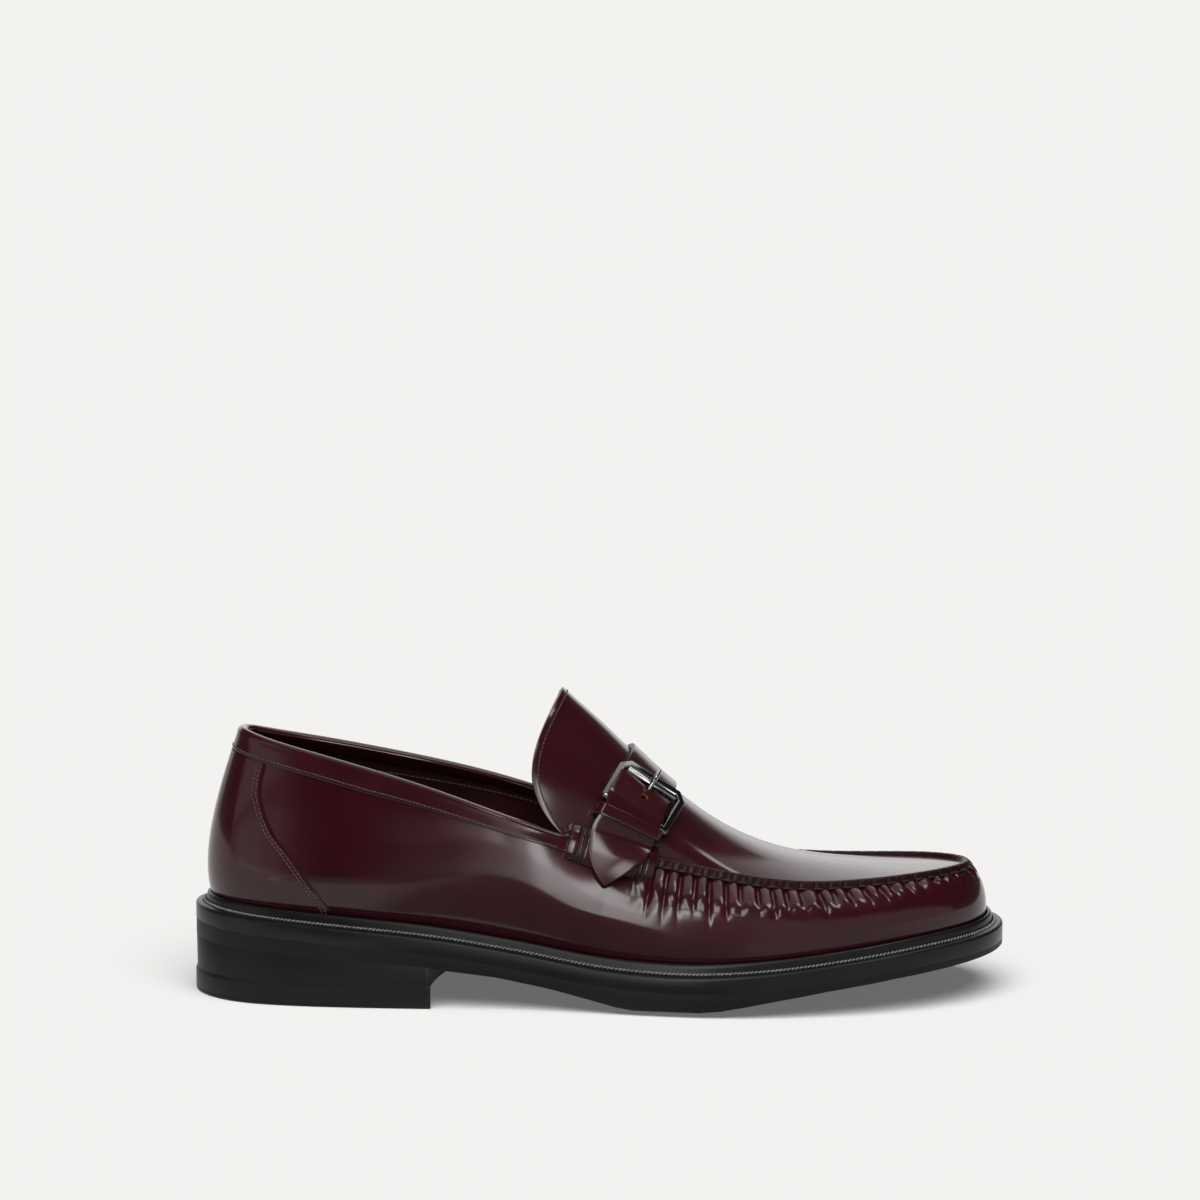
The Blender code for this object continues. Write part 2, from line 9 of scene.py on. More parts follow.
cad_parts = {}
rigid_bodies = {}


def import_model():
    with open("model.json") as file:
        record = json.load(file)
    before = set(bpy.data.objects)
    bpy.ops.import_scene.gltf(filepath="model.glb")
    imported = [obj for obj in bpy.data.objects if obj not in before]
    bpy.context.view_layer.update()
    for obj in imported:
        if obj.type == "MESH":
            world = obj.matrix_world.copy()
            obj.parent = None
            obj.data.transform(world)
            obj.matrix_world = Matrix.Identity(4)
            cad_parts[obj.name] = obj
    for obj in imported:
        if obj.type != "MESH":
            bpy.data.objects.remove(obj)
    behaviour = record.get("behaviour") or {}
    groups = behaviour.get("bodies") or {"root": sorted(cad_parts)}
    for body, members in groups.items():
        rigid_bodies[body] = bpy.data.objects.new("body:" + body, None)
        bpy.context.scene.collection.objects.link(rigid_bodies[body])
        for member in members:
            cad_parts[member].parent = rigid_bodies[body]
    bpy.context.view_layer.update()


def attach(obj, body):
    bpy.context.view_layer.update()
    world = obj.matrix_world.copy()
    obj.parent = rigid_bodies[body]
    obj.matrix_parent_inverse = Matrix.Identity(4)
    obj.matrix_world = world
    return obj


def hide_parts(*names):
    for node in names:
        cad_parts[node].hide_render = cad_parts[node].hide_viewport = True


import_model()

mm = 0.001
dice = random.Random(41)  # for the hand-made unevenness of gathers and stitches

# the shoe's own shape, in metres: +X toe, -Y outer side, +Z up
shell = dict(
    wall=2.0 * mm,  # upper leather with its lining
    gap=0.3 * mm,
    weltLedge=6.6 * mm,  # sole edge to the foot of the upper
    ridgeHeight=4.0 * mm,
    weltHeight=4.0 * mm,
    tongueEnd=6.52 / 24,  # where the tongue's free edge leaves the wall, both sides
    seamEnd=0.262,  # where the raised seam ends, both sides
    throat=0.272,  # where the apron's opening turns into the collar, both sides
)
# sole x, sole y, top edge x, y, z; from the toe along the outer side to the heel and back
lastPlan = np.array([
    (151.0, 3.7, 136.8, 3.7, 46.0), (144.5, -16.8, 131.0, -9.3, 46.3),
    (127.0, -32.8, 116.0, -20.8, 46.0), (101.0, -44.3, 94.0, -27.8, 44.8),
    (68.0, -50.3, 67.0, -31.3, 45.0), (34.0, -49.3, 36.0, -30.8, 50.0),
    (0.0, -43.3, 5.0, -31.3, 57.5), (-35.0, -37.8, -30.0, -34.3, 69.5),
    (-70.0, -35.3, -64.0, -27.8, 80.5), (-105.0, -32.3, -97.0, -20.8, 89.3),
    (-132.0, -25.8, -119.0, -14.8, 94.6), (-146.5, -13.8, -130.0, -8.3, 97.4),
    (-151.0, -0.3, -133.2, -0.8, 98.2), (-146.5, 13.2, -130.0, 6.7, 97.2),
    (-132.0, 24.7, -119.0, 12.7, 94.2), (-105.0, 31.2, -97.0, 19.2, 89.2),
    (-70.0, 30.7, -64.0, 25.2, 81.4), (-35.0, 30.2, -30.0, 30.2, 71.5),
    (0.0, 35.7, 5.0, 29.2, 59.5), (35.0, 45.7, 36.0, 29.2, 50.0),
    (67.0, 50.7, 66.0, 30.7, 44.8), (100.0, 47.2, 95.0, 28.7, 43.8),
    (127.0, 37.2, 118.0, 22.2, 45.0), (144.5, 23.2, 132.0, 13.7, 45.8),
]) * mm
# how the wall swells: out and up at its foot, out and down at its edge
wallSwell = np.array([
    (0.5, 6.0, 5.5, 1.5), (3.0, 9.0, 8.5, 2.0), (7.0, 14.0, 6.5, 8.0), (8.0, 14.0, 6.5, 20.0),
    (4.0, 16.0, 7.0, 20.0), (7.5, 14.0, 6.5, 20.0), (7.0, 16.0, 5.5, 12.0), (3.5, 9.0, 8.5, 2.0),
]) * mm
# x, height
weltLine = np.array([
    (-151.0, 33.6), (-100.0, 29.6), (-60.0, 25.8), (-30.0, 21.2), (0.0, 16.4),
    (30.0, 14.8), (60.0, 16.4), (90.0, 19.6), (120.0, 22.9), (151.0, 25.0),
]) * mm
treadLine = np.array([
    (-151.0, 21.2), (-100.0, 18.0), (-63.0, 15.3), (-38.0, 11.2), (-14.0, 5.6),
    (6.0, 0.8), (12.0, 0.0), (36.0, 0.0), (44.0, 0.8), (64.0, 4.6),
    (83.0, 7.8), (108.0, 11.0), (135.0, 13.6), (151.0, 15.0),
]) * mm
instepLine = np.array([
    (-17.0, 117.0), (-13.0, 113.0), (0.0, 101.0), (11.0, 90.2), (22.0, 79.8), (33.0, 70.6),
    (44.0, 62.9), (56.0, 56.6), (69.0, 51.9), (80.0, 49.5), (100.0, 47.4), (137.0, 46.3),
]) * mm


def splineControl(rows):  # control points of a smooth closed curve through the rows
    ring = np.eye(len(rows))
    weights = (4 * ring + np.roll(ring, 1, axis=0) + np.roll(ring, -1, axis=0)) / 6
    return np.linalg.solve(weights, rows)


planCurve, swellCurve = splineControl(lastPlan), splineControl(wallSwell)


def alongSpline(control, places):
    count = len(control)
    step = (np.asarray(places) % 1.0) * count
    first = np.floor(step).astype(int) % count
    f = (step - np.floor(step))[:, None]
    basis = ((1 - f) ** 3, 3 * f**3 - 6 * f**2 + 4, -3 * f**3 + 3 * f**2 + 3 * f + 1, f**3)
    return sum(b * control[(first + k - 1) % count] for k, b in enumerate(basis)) / 6


def heightAt(table, x):
    xs, zs = table.T
    x = np.clip(x, xs[0], xs[-1])
    slopes = np.gradient(zs, xs)
    k = np.clip(np.searchsorted(xs, x) - 1, 0, len(xs) - 2)
    width = xs[k + 1] - xs[k]
    f = (x - xs[k]) / width
    return ((2 * f**3 - 3 * f**2 + 1) * zs[k] + (f**3 - 2 * f**2 + f) * width * slopes[k]
            + (3 * f**2 - 2 * f**3) * zs[k + 1] + (f**3 - f**2) * width * slopes[k + 1])


def treadAt(x):
    return np.interp(x, *treadLine.T)


def soleTop(x):
    return heightAt(weltLine, x) - shell["weltHeight"]


def unit(rows):
    return rows / np.maximum(np.linalg.norm(rows, axis=-1, keepdims=True), 1e-12)


def smooth(low, high, value):  # 0 below low, 1 above high, eased between
    f = np.clip((value - low) / (high - low), 0, 1)
    return f * f * (3 - 2 * f)


def fade(low, high, value):
    return 1 - smooth(low, high, value)


def hill(value):
    return np.exp(-value**2)


def clearOf(rows, axis):  # rows with what lies along the axis taken out
    return rows - axis * (rows * axis).sum(1)[:, None]


def rolls(count, low, high):  # seeded numbers between two limits
    return np.array([dice.uniform(low, high) for _ in range(count)])


def outward(places):
    ahead = alongSpline(planCurve, places + 0.002) - alongSpline(planCurve, places - 0.002)
    return unit(np.column_stack((-ahead[:, 1], ahead[:, 0], 0 * ahead[:, 0])))


def planPoints(places, inset):
    return alongSpline(planCurve, places)[:, :2] - outward(places)[:, :2] * inset


def wallPoints(places, levels):  # the upper's outer face: level 0 at the foot, 1 at the edge
    plan = planPoints(places, shell["weltLedge"])
    foot = np.column_stack((plan, heightAt(weltLine, plan[:, 0]) + shell["ridgeHeight"] + shell["gap"]))
    edge = alongSpline(planCurve, places)[:, 2:5]
    swell = alongSpline(swellCurve, places)
    away = outward(places)
    lower = foot + away * swell[:, :1] + swell[:, 1:2] * (0, 0, 1)
    upper = edge + away * swell[:, 2:3] - swell[:, 3:4] * (0, 0, 1)
    t = np.atleast_1d(np.asarray(levels, float))[:, None]
    rest = 1 - t
    return rest**3 * foot + 3 * rest**2 * t * lower + 3 * rest * t**2 * upper + t**3 * edge


def wallNormals(places, levels):
    e = 0.0015
    levels = np.clip(levels, e, 1 - e)
    along = wallPoints(places + e, levels) - wallPoints(places - e, levels)
    up = wallPoints(places, levels + e) - wallPoints(places, levels - e)
    return unit(np.cross(up, along))


def overWall(places, levels, heights):
    return wallPoints(places, levels) + wallNormals(places, levels) * np.reshape(heights, (-1, 1))


def wallGrid(places, levels):  # every place at every level, flat
    return np.tile(places, len(levels)), np.repeat(levels, len(places))


def apronEdge(places):
    top = wallPoints(places, 1)
    lean = top - wallPoints(places, 0.98)
    steep = np.abs(lean[:, 2]) / np.linalg.norm(lean, axis=1)
    return top - outward(places) * (shell["wall"] * steep + 2 * shell["gap"])[:, None]


def apronPoints(rows, across):  # row 0 at the toe, 1 at the free edge; -1 outer seam, 1 inner seam
    lateral = apronEdge(shell["tongueEnd"] * rows)
    medial = apronEdge(1 - shell["tongueEnd"] * rows)
    angle = across * math.pi / 2
    side = ((1 + np.sin(angle)) / 2)[:, None]
    base = lateral * (1 - side) + medial * side
    middle = (lateral + medial) / 2
    back = np.maximum(0.0, rows - 0.55) / 0.45
    topX = middle[:, 0] - 1.0 * mm * back**2
    roundness = 1.0 - 0.45 * smooth(0.5, 0.86, rows)
    rise = np.maximum(np.cos(angle), 0) ** (2 * roundness)
    # the tongue's free edge sweeps down to both sides
    free = np.maximum(0.0, rows - 0.86) / 0.14
    aside = np.minimum(np.abs(across), 1)
    sweep = np.where(across < 0, 11.5 * mm * np.sin(math.pi * aside**1.75),
                     7.0 * mm * np.sin(math.pi * aside**2.6))
    return np.column_stack((base[:, 0] + (topX - middle[:, 0]) * rise - sweep * free**2,
                            base[:, 1], base[:, 2] + (heightAt(instepLine, topX) - middle[:, 2]) * rise))


def skin(rows, across):  # apron between the seams, wall beyond them
    rows, across = np.broadcast_arrays(np.asarray(rows, float), np.asarray(across, float))
    points = np.empty((len(rows), 3))
    inside, outer, inner = np.abs(across) <= 1, across < -1, across > 1
    points[inside] = apronPoints(rows[inside], across[inside])
    points[outer] = wallPoints(shell["tongueEnd"] * rows[outer], 2 + across[outer])
    points[inner] = wallPoints(1 - shell["tongueEnd"] * rows[inner], 2 - across[inner])
    return points


def overSkin(rows, across, height):  # a height over the skin, the step at the seam smoothed away
    e = 0.01
    rows, across = np.broadcast_arrays(np.asarray(rows, float), np.asarray(across, float))
    clear = np.where(np.abs(np.abs(across) - 1) > e, across, np.sign(across) * (1 + e))
    along = skin(rows + e, clear) - skin(rows - e, clear)
    over = skin(rows, clear + e) - skin(rows, clear - e)
    seam = np.where(np.abs(across) < 1, np.maximum(0, 1 - np.abs(1 - np.abs(across)) / 0.4), 0)
    lift = height + shell["wall"] * 1.15 * seam**2
    return skin(rows, across) + unit(np.cross(over, along)) * lift[:, None]


# where the strap crosses, how far it leans back and how far its loose end swings
bandLook = dict(row=0.852, lean=0.075, shift=2.3 * mm)


def strapRow(across):
    reach = np.minimum(1.0, np.abs(across))
    beyond = np.maximum(0.0, np.abs(across) - 1)
    return bandLook["row"] + bandLook["lean"] * (1 - np.cos(reach * math.pi / 2) + 0.35 * beyond)


def bandPoints(places, sides, heights):  # beside the strap's line: side is measured towards the toe
    fitted = np.broadcast_arrays(places, sides, heights)
    places, sides, heights = [np.asarray(a, float).ravel() for a in fitted]
    sides = sides + bandLook["shift"] * smooth(0.58, 0.76, -places)
    rows = strapRow(places)
    step = overSkin(rows + 0.01, places, 0 * places) - overSkin(rows - 0.01, places, 0 * places)
    perRow = np.linalg.norm(step, axis=1) / 0.02
    twisted = places + np.sign(places) * sides * 1.7 * smooth(0.5, 0.8, np.abs(places))
    return overSkin(rows - sides / perRow, twisted, heights)


def runLength(path):  # the distance covered at each point of a path
    steps = np.linalg.norm(np.diff(path, axis=0), axis=-1)
    return np.concatenate((np.zeros((1, *steps.shape[1:])), np.cumsum(steps, axis=0)))


def byLength(path, count, closed=False):  # even parameters along a fine path, by arc length
    total = runLength(path)
    wanted = np.linspace(0, total[-1], count, endpoint=not closed)
    return np.interp(wanted, total, np.linspace(0, 1, len(path)))


def pointsOn(path, index):  # a path read between its points
    return np.column_stack([np.interp(index, np.arange(len(path)), column) for column in path.T])


def edgePlaces(start, end, count, closed=False):  # places spaced evenly along the top edge
    fine = np.linspace(start, end, 1200)
    return start + (end - start) * byLength(wallPoints(fine, 1), count, closed)


def solePlaces(count):
    return byLength(planPoints(np.linspace(0, 1, 1500), 0), count, True)


def fallLevels(places, distances):  # the level at each distance down the wall from its edge
    fine = np.linspace(1, 0, 70)
    fall = runLength(wallPoints(*wallGrid(places, fine)).reshape(70, -1, 3))
    return np.stack([np.interp(distances[:, k], fall[:, k], fine) for k in range(len(places))], axis=1)


seamSteps = np.linspace(-0.36, 0.36, 3000)
seamRun = runLength(wallPoints(seamSteps, 1))
seamRun -= np.interp(0.0, seamSteps, seamRun)


def seamLength(places):  # signed length along the seam from the toe, negative on the inner side
    return np.interp(((np.asarray(places) + 0.5) % 1.0) - 0.5, seamSteps, seamRun)


def seamPlace(length):
    return np.interp(length, seamRun, seamSteps)


def seamAtX(x, outer=True):  # seam length of the point of the edge at this x
    fine = np.linspace(0.005, 0.32, 800) * (1 if outer else -1)
    return float(seamLength(np.interp(-x, -wallPoints(fine, 1)[:, 0], fine)))


# mesh helpers
def clearPick():
    if bpy.context.object and bpy.context.object.mode != "OBJECT":
        bpy.ops.object.mode_set(mode="OBJECT")
    bpy.ops.object.select_all(action="DESELECT")


def pick(piece):
    clearPick()
    piece.select_set(True)
    bpy.context.view_layer.objects.active = piece


def editAll(piece, selected="SELECT"):
    pick(piece)
    bpy.ops.object.mode_set(mode="EDIT")
    bpy.ops.mesh.select_all(action=selected)


def editDone():
    bpy.ops.object.mode_set(mode="OBJECT")


def mend(piece, weld=0.0, turnOut=True):  # doubles merged, faces turned outwards
    editAll(piece)
    if weld:
        bpy.ops.mesh.remove_doubles(threshold=weld)
    if turnOut:
        bpy.ops.mesh.normals_make_consistent(inside=False)
    editDone()
    return piece


def giveLooks(piece, *looks):
    for look in looks:
        piece.data.materials.append(look)
    return piece


def newObject(name, data, *looks):
    piece = bpy.data.objects.new(name, data)
    bpy.context.scene.collection.objects.link(piece)
    return giveLooks(piece, *looks)


def named(name, *looks):  # the primitive that was just added
    piece = bpy.context.object
    piece.name = piece.data.name = name
    return giveLooks(piece, *looks)


def surface(name, grid, *looks, ringColumns=False, ringRows=False):
    # a grid primitive whose points are moved onto the shape; rings are welded shut
    grid = np.asarray(grid)
    if ringColumns:
        grid = np.concatenate((grid, grid[:, :1]), axis=1)
    if ringRows:
        grid = np.concatenate((grid, grid[:1]), axis=0)
    rows, columns = grid.shape[:2]
    clearPick()
    bpy.ops.mesh.primitive_grid_add(x_subdivisions=columns - 1, y_subdivisions=rows - 1, size=0.1)
    piece = named(name, *looks)
    piece.data.vertices.foreach_set("co", grid.reshape(-1).astype(np.float32))
    piece.data.uv_layers.remove(piece.data.uv_layers[0])
    piece.data.update()
    return mend(piece, 0.002 * mm, turnOut=False) if ringColumns or ringRows else piece


def strip(name, sections, *looks):  # closed sections joined to a strip, its two ends filled
    piece = surface(name, sections, *looks, ringColumns=True)
    editAll(piece, "DESELECT")
    bpy.ops.mesh.select_mode(type="EDGE")
    bpy.ops.mesh.select_non_manifold()
    bpy.ops.mesh.fill_holes(sides=0)
    editDone()
    return mend(piece)


def tube(name, path, radius, look, resolution=2, tips=()):  # tips: how full its last points are
    curve = bpy.data.curves.new(name, "CURVE")
    curve.dimensions, curve.use_fill_caps = "3D", True
    curve.bevel_depth, curve.bevel_resolution = radius, resolution
    spline = curve.splines.new("POLY")
    spline.points.add(len(path) - 1)
    for point, where in zip(spline.points, path):
        point.co = (*where, 1.0)
    for point, share in zip(list(spline.points)[-len(tips):], tips):
        point.radius = share
    pick(newObject(name, curve))
    bpy.ops.object.convert(target="MESH")
    return giveLooks(mend(bpy.context.object, 0.001 * mm), look)


def addModifier(piece, kind, **settings):
    pick(piece)
    made = piece.modifiers.new(kind.lower(), kind)
    for key, value in settings.items():
        setattr(made, key, value)
    bpy.ops.object.modifier_apply(modifier=made.name)
    return piece


def thicken(piece, thickness, offset, rimLook=1, **settings):
    return addModifier(piece, "SOLIDIFY", thickness=thickness, offset=offset,
                       material_offset_rim=rimLook, **settings)


def roundEdges(piece, width, segments=3, angle=50, look=-1):
    return addModifier(piece, "BEVEL", width=width, segments=segments, material=look, limit_method="ANGLE",
                       angle_limit=math.radians(angle))


def place(piece, slot, *nodes, sharp=None):  # shading and the ties to the CAD frame
    pick(piece)
    bpy.ops.object.transform_apply(location=True, rotation=True, scale=True)
    if sharp:
        bpy.ops.object.shade_smooth_by_angle(angle=math.radians(sharp))
    else:
        bpy.ops.object.shade_smooth()
    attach(piece, "root")
    if nodes:
        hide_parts(*nodes)
    return piece


# materials
def newMaterial(name):
    made = bpy.data.materials.new(name)
    made.use_nodes = True
    return made, made.node_tree.nodes, made.node_tree.links


def setSockets(node, values):
    for socket, value in values.items():
        node.inputs[socket].default_value = value


def noise(nodes, links, scale, detail=3.0, roughness=0.5):
    where, made = nodes.new("ShaderNodeTexCoord"), nodes.new("ShaderNodeTexNoise")
    setSockets(made, {"Scale": scale, "Detail": detail, "Roughness": roughness})
    links.new(where.outputs["Object"], made.inputs["Vector"])
    return made.outputs["Fac"]


def ramp(nodes, links, source, stops):
    made = nodes.new("ShaderNodeValToRGB")
    elements = made.color_ramp.elements
    elements[0].position, elements[0].color = stops[0][0], (*stops[0][1], 1)
    elements[1].position, elements[1].color = stops[-1][0], (*stops[-1][1], 1)
    for spot, colour in stops[1:-1]:
        elements.new(spot).color = (*colour, 1)
    links.new(source, made.inputs["Fac"])
    return made


def mottled(name, broad, tones, sockets, bumps):
    # colour from one soft noise, relief from finer ones: scale, detail, roughness, strength, depth
    made, nodes, links = newMaterial(name)
    shader = nodes["Principled BSDF"]
    tone = ramp(nodes, links, noise(nodes, links, *broad), tones)
    links.new(tone.outputs["Color"], shader.inputs["Base Color"])
    setSockets(shader, sockets)
    last = None
    for *grain, strength, depth in bumps:
        bump = nodes.new("ShaderNodeBump")
        setSockets(bump, {"Strength": strength, "Distance": depth})
        links.new(noise(nodes, links, *grain), bump.inputs["Height"])
        if last:
            links.new(last.outputs["Normal"], bump.inputs["Normal"])
        last = bump
    links.new(last.outputs["Normal"], shader.inputs["Normal"])
    return made


leatherLook = dict(colour=(0.029, 0.0022, 0.0047), shade=(0.022, 0.0016, 0.0035),
                   light=(0.036, 0.0030, 0.0058), roughness=0.4, specular=0.06, coat=1.0,
                   coatRoughness=0.115, coatIor=1.4, dents=0.05, grain=0.12)


def polishedLeather(name, **changes):
    look = dict(leatherLook, **changes)
    return mottled(name, (38, 2.0), ((0.3, look["shade"]), (0.55, look["colour"]), (0.8, look["light"])),
                   {"Roughness": look["roughness"], "Specular IOR Level": look["specular"],
                    "Coat Weight": look["coat"], "Coat Roughness": look["coatRoughness"],
                    "Coat IOR": look["coatIor"]},
                   ((160, 2.0, 0.5, look["dents"], 0.0006), (1500, 3.0, 0.6, look["grain"], 0.00005)))


def mattFinish(name, colour, shade, roughness, specular, patches, grainScale, grain, depth):
    return mottled(name, (patches,), ((0.3, shade), (0.75, colour)),
                   {"Roughness": roughness, "Specular IOR Level": specular},
                   ((grainScale, 4.0, 0.6, grain, depth),))


def metalFinish(name, colour, shade, roughness):
    haze = (700, 3.0, 0.6)
    return mottled(name, haze, ((0.3, shade), (0.7, colour)), {"Metallic": 1.0, "Roughness": roughness},
                   ((*haze, 0.08, 0.00004),))


leather = polishedLeather("burgundyLeather")
strapLeather = polishedLeather("strapLeather", dents=0.08, coatRoughness=0.13)
seamLeather = polishedLeather("seamLeather", colour=(0.016, 0.0035, 0.0050), light=(0.022, 0.005, 0.0065),
                              coat=0.22, coatRoughness=0.24, dents=0.2, grain=0.3)
bindingLeather = polishedLeather("bindingLeather", colour=(0.031, 0.0035, 0.0062))
# name, colour, shade, roughness, specular, size of patches and of grain, how strong and how deep the grain is
lining, sockLeather, edgePaint, rubber, heelRubber, weltRubber, darkThreadAndGrooveShade, brownThread, weltThread, \
    rawEdge = [mattFinish(*look) for look in (
        ("liningLeather", (0.036, 0.0070, 0.0065), (0.022, 0.0040, 0.0040), 0.5, 0.3, 60, 900, 0.3, 0.0001),
        ("sockLeather", (0.030, 0.006, 0.007), (0.020, 0.004, 0.005), 0.45, 0.35, 45, 1100, 0.3, 0.0001),
        ("edgePaint", (0.020, 0.016, 0.017), (0.010, 0.008, 0.009), 0.42, 0.5, 300, 1500, 0.4, 0.0001),
        ("soleRubber", (0.0094, 0.0098, 0.0108), (0.0078, 0.0081, 0.009), 0.46, 0.15, 50, 1300, 0.35, 6e-5),
        ("heelRubber", (0.0092, 0.0094, 0.0116), (0.0077, 0.0079, 0.0098), 0.42, 0.16, 50, 1300, 0.35, 6e-5),
        ("weltRubber", (0.0078, 0.0078, 0.0082), (0.0055, 0.0055, 0.0058), 0.3, 0.24, 90, 1700, 0.45, 8e-5),
        # dark thread, also the colour of the sunk cords that paint the shade of the stitch grooves
        ("darkThreadAndGrooveShade", (0.018, 0.010, 0.010), (0.008, 0.004, 0.005), 0.5, 0.4, 900, 4000, 0.5, 0.00005),
        ("brownThread", (0.14, 0.072, 0.068), (0.065, 0.030, 0.030), 0.55, 0.4, 900, 4000, 0.5, 0.00005),
        ("weltThread", (0.24, 0.243, 0.246), (0.11, 0.112, 0.114), 0.4, 0.5, 700, 4000, 0.5, 0.00005),
        ("rawEdge", (0.42, 0.24, 0.10), (0.22, 0.11, 0.04), 0.7, 0.3, 900, 3000, 0.5, 0.0001))]
gunmetal = metalFinish("gunmetal", (0.34, 0.34, 0.345), (0.27, 0.27, 0.275), 0.13)
darkMetal = metalFinish("darkMetal", (0.19, 0.19, 0.195), (0.14, 0.14, 0.143), 0.10)
print("materials ready")

# upper: vamp, quarters and heel in one skin, gathered under the apron seam
upperLook = dict(frontColumns=800, backColumns=190, levels=70, liningLevels=12,
                 gatherPitch=5.4 * mm, gatherStart=14.0 * mm, bulge=0.58 * mm, valley=0.55 * mm,
                 valleyWidth=0.8 * mm, wrinkle=0.03 * mm, wave=0.035 * mm)
# soft creases that run on down the wall: x on the seam, start and end down the wall, depth, width, lean
longCreases = ((62, 9, 24, 0.10, 0.9, -0.10), (81, 8, 25, 0.12, 0.8, 0.06), (91, 8, 20, 0.08, 0.8, 0.12),
               (104, 7, 17, 0.07, 0.9, 0.1), (47, 12, 22, 0.08, 1.2, -0.15))
gatherFrom, gatherTo = seamAtX(upperLook["gatherStart"], False), seamAtX(upperLook["gatherStart"])
gatherCount = int(round((gatherTo - gatherFrom) / upperLook["gatherPitch"]))
stitchMarks = np.linspace(gatherFrom, gatherTo, gatherCount + 1)
gatherMarks = stitchMarks + rolls(gatherCount + 1, -0.7, 0.7) * mm
gatherSize = rolls(gatherCount, 0.45, 1.25)
gatherReach = rolls(gatherCount, 0.85, 1.12)
valleyDepth = rolls(gatherCount + 1, 0.5, 1.3)
valleyReach = rolls(gatherCount + 1, 0.6, 1.25)
# the gathered leather stands off the wall: length along the seam, how far down its lower edge is,
# how high it stands
gatherShelf = np.array([(50, 6.0, 0), (69, 8.5, 0.15), (85, 11.5, 0.35), (108, 15.0, 0.6), (125, 17.5, 0.9),
                        (148, 22.0, 0.9), (168, 24.0, 0.3), (185, 26.0, 0)]) * mm
# length along the seam from the toe, how far down the wall the gathers run
gatherRun = np.array([(0, 6.0), (36, 8.5), (60, 11.5), (78, 14.0), (92, 16.5), (130, 20.0)]) * mm


def upperRelief(s, d):  # height of the leather over its smooth form; s along the seam, d down the wall
    span = np.abs(s)
    shifted = s + (0.10 * np.sin(s / 0.031) + 0.05) * d * np.sign(s)
    index = np.clip(np.searchsorted(gatherMarks, shifted) - 1, 0, gatherCount - 1)
    width = gatherMarks[index + 1] - gatherMarks[index]
    f = np.clip((shifted - gatherMarks[index]) / width, 0, 1)
    mark = index + (f > 0.5)
    run = np.interp(span, *gatherRun.T)
    start = smooth(0.1 * mm, 1.6 * mm, d)
    ends = smooth(gatherFrom - 4 * mm, gatherFrom + 4 * mm, s) * fade(gatherTo - 4 * mm, gatherTo + 4 * mm, s)
    # each bulge is fullest low down and ends in a round fold; the valleys between them fade away
    low = run * gatherReach[index]
    flat = smooth(60 * mm, 100 * mm, span)
    bulge = np.sin(math.pi * f) ** 2 * (1 - flat) + flat * (1 - np.abs(2 * f - 1) ** 2.4)
    fullness = 0.75 + 0.25 * smooth(0.1 * low, 0.7 * low, d)
    bulge *= gatherSize[index] * fullness * fade(0.45 * low, 1.15 * low, d)
    deep = run * valleyReach[mark]
    valley = hill(np.minimum(f, 1 - f) * width / upperLook["valleyWidth"]) * valleyDepth[mark]
    valley *= fade(0.3 * deep, 1.1 * deep, d)
    relief = start * ends * (upperLook["bulge"] * bulge - upperLook["valley"] * valley)
    edge, stand = (np.interp(span, gatherShelf[:, 0], column) for column in gatherShelf[:, 1:].T)
    relief += stand * smooth(0, edge, d) * fade(edge, edge + 11 * mm, d)
    wrinkles = np.sin(s / (0.62 * mm) + 2.2 * np.sin(d / (1.9 * mm) + s / (7 * mm)))
    relief += upperLook["wrinkle"] * start * ends * fade(0.6 * run, 1.1 * run, d) * wrinkles
    for x, top, end, depth, wide, lean in longCreases:
        for outer in (True, False):
            middle = seamAtX(x * mm, outer)
            away = (s - middle - lean * (d - top * mm) * np.sign(middle)) / (wide * mm)
            run = smooth(top * mm, (top + 4) * mm, d) * fade((end - 6) * mm, end * mm, d)
            relief -= depth * mm * run * hill(away)
    return relief


def overRim(high, low, rise, angles):  # a half round from one edge over to the other
    centre, out = (high + low) / 2, (high - low) / 2
    return [centre + out * math.cos(a) + rise * math.sin(a) for a in np.radians(angles)]


def makeUpper(look):
    throat = shell["throat"]
    places = np.concatenate((edgePlaces(-throat, throat, look["frontColumns"], True),
                             edgePlaces(throat, 1 - throat, look["backColumns"], True)))
    levels = np.linspace(0, 1, look["levels"]) ** 0.8  # closer together under the edge
    flat = wallGrid(places, levels)
    outer = wallPoints(*flat).reshape(len(levels), len(places), 3)
    fall = runLength(outer[::-1])[::-1]
    relief = upperRelief(np.tile(seamLength(places), (len(levels), 1)), fall)
    x, z = outer[..., 0], outer[..., 2]
    wave = np.sin(x / (8.5 * mm) + 2.1 * np.sin(z / (11 * mm))) * np.sin(z / (7.4 * mm))
    relief += look["wave"] * wave * smooth(2 * mm, 8 * mm, fall)
    outside = outer + wallNormals(*flat).reshape(outer.shape) * relief[..., None]

    def foot(inset):
        plan = planPoints(places, inset)
        return np.column_stack((plan, soleTop(plan[:, 0]) + shell["gap"]))[None]

    # over the top edge in a half round and down the inside
    inside = overWall(*wallGrid(places, np.linspace(1, 0, look["liningLevels"])), -shell["wall"])
    inside = inside.reshape(-1, len(places), 3)
    rise = unit(outer[-1] - outer[-3]) * shell["wall"] / 2
    rim = overRim(outer[-1], inside[0], rise, (30, 60, 90, 120, 150))
    grid = np.concatenate((foot(shell["weltLedge"]), outside, rim, inside,
                           foot(shell["weltLedge"] + shell["wall"])))
    piece = surface("upperLeather", grid[::-1], leather, lining, ringColumns=True, ringRows=True)
    index = np.zeros((len(grid), len(places)), np.int32)
    index[: len(inside) + 1] = index[-1] = 1  # the grid was turned over, so the lining comes first
    piece.data.polygons.foreach_set("material_index", index.ravel())
    place(mend(piece), "burgundy_leather", "upper")
    print("upper:", len(piece.data.polygons), "faces,", gatherCount, "gathers")


makeUpper(upperLook)

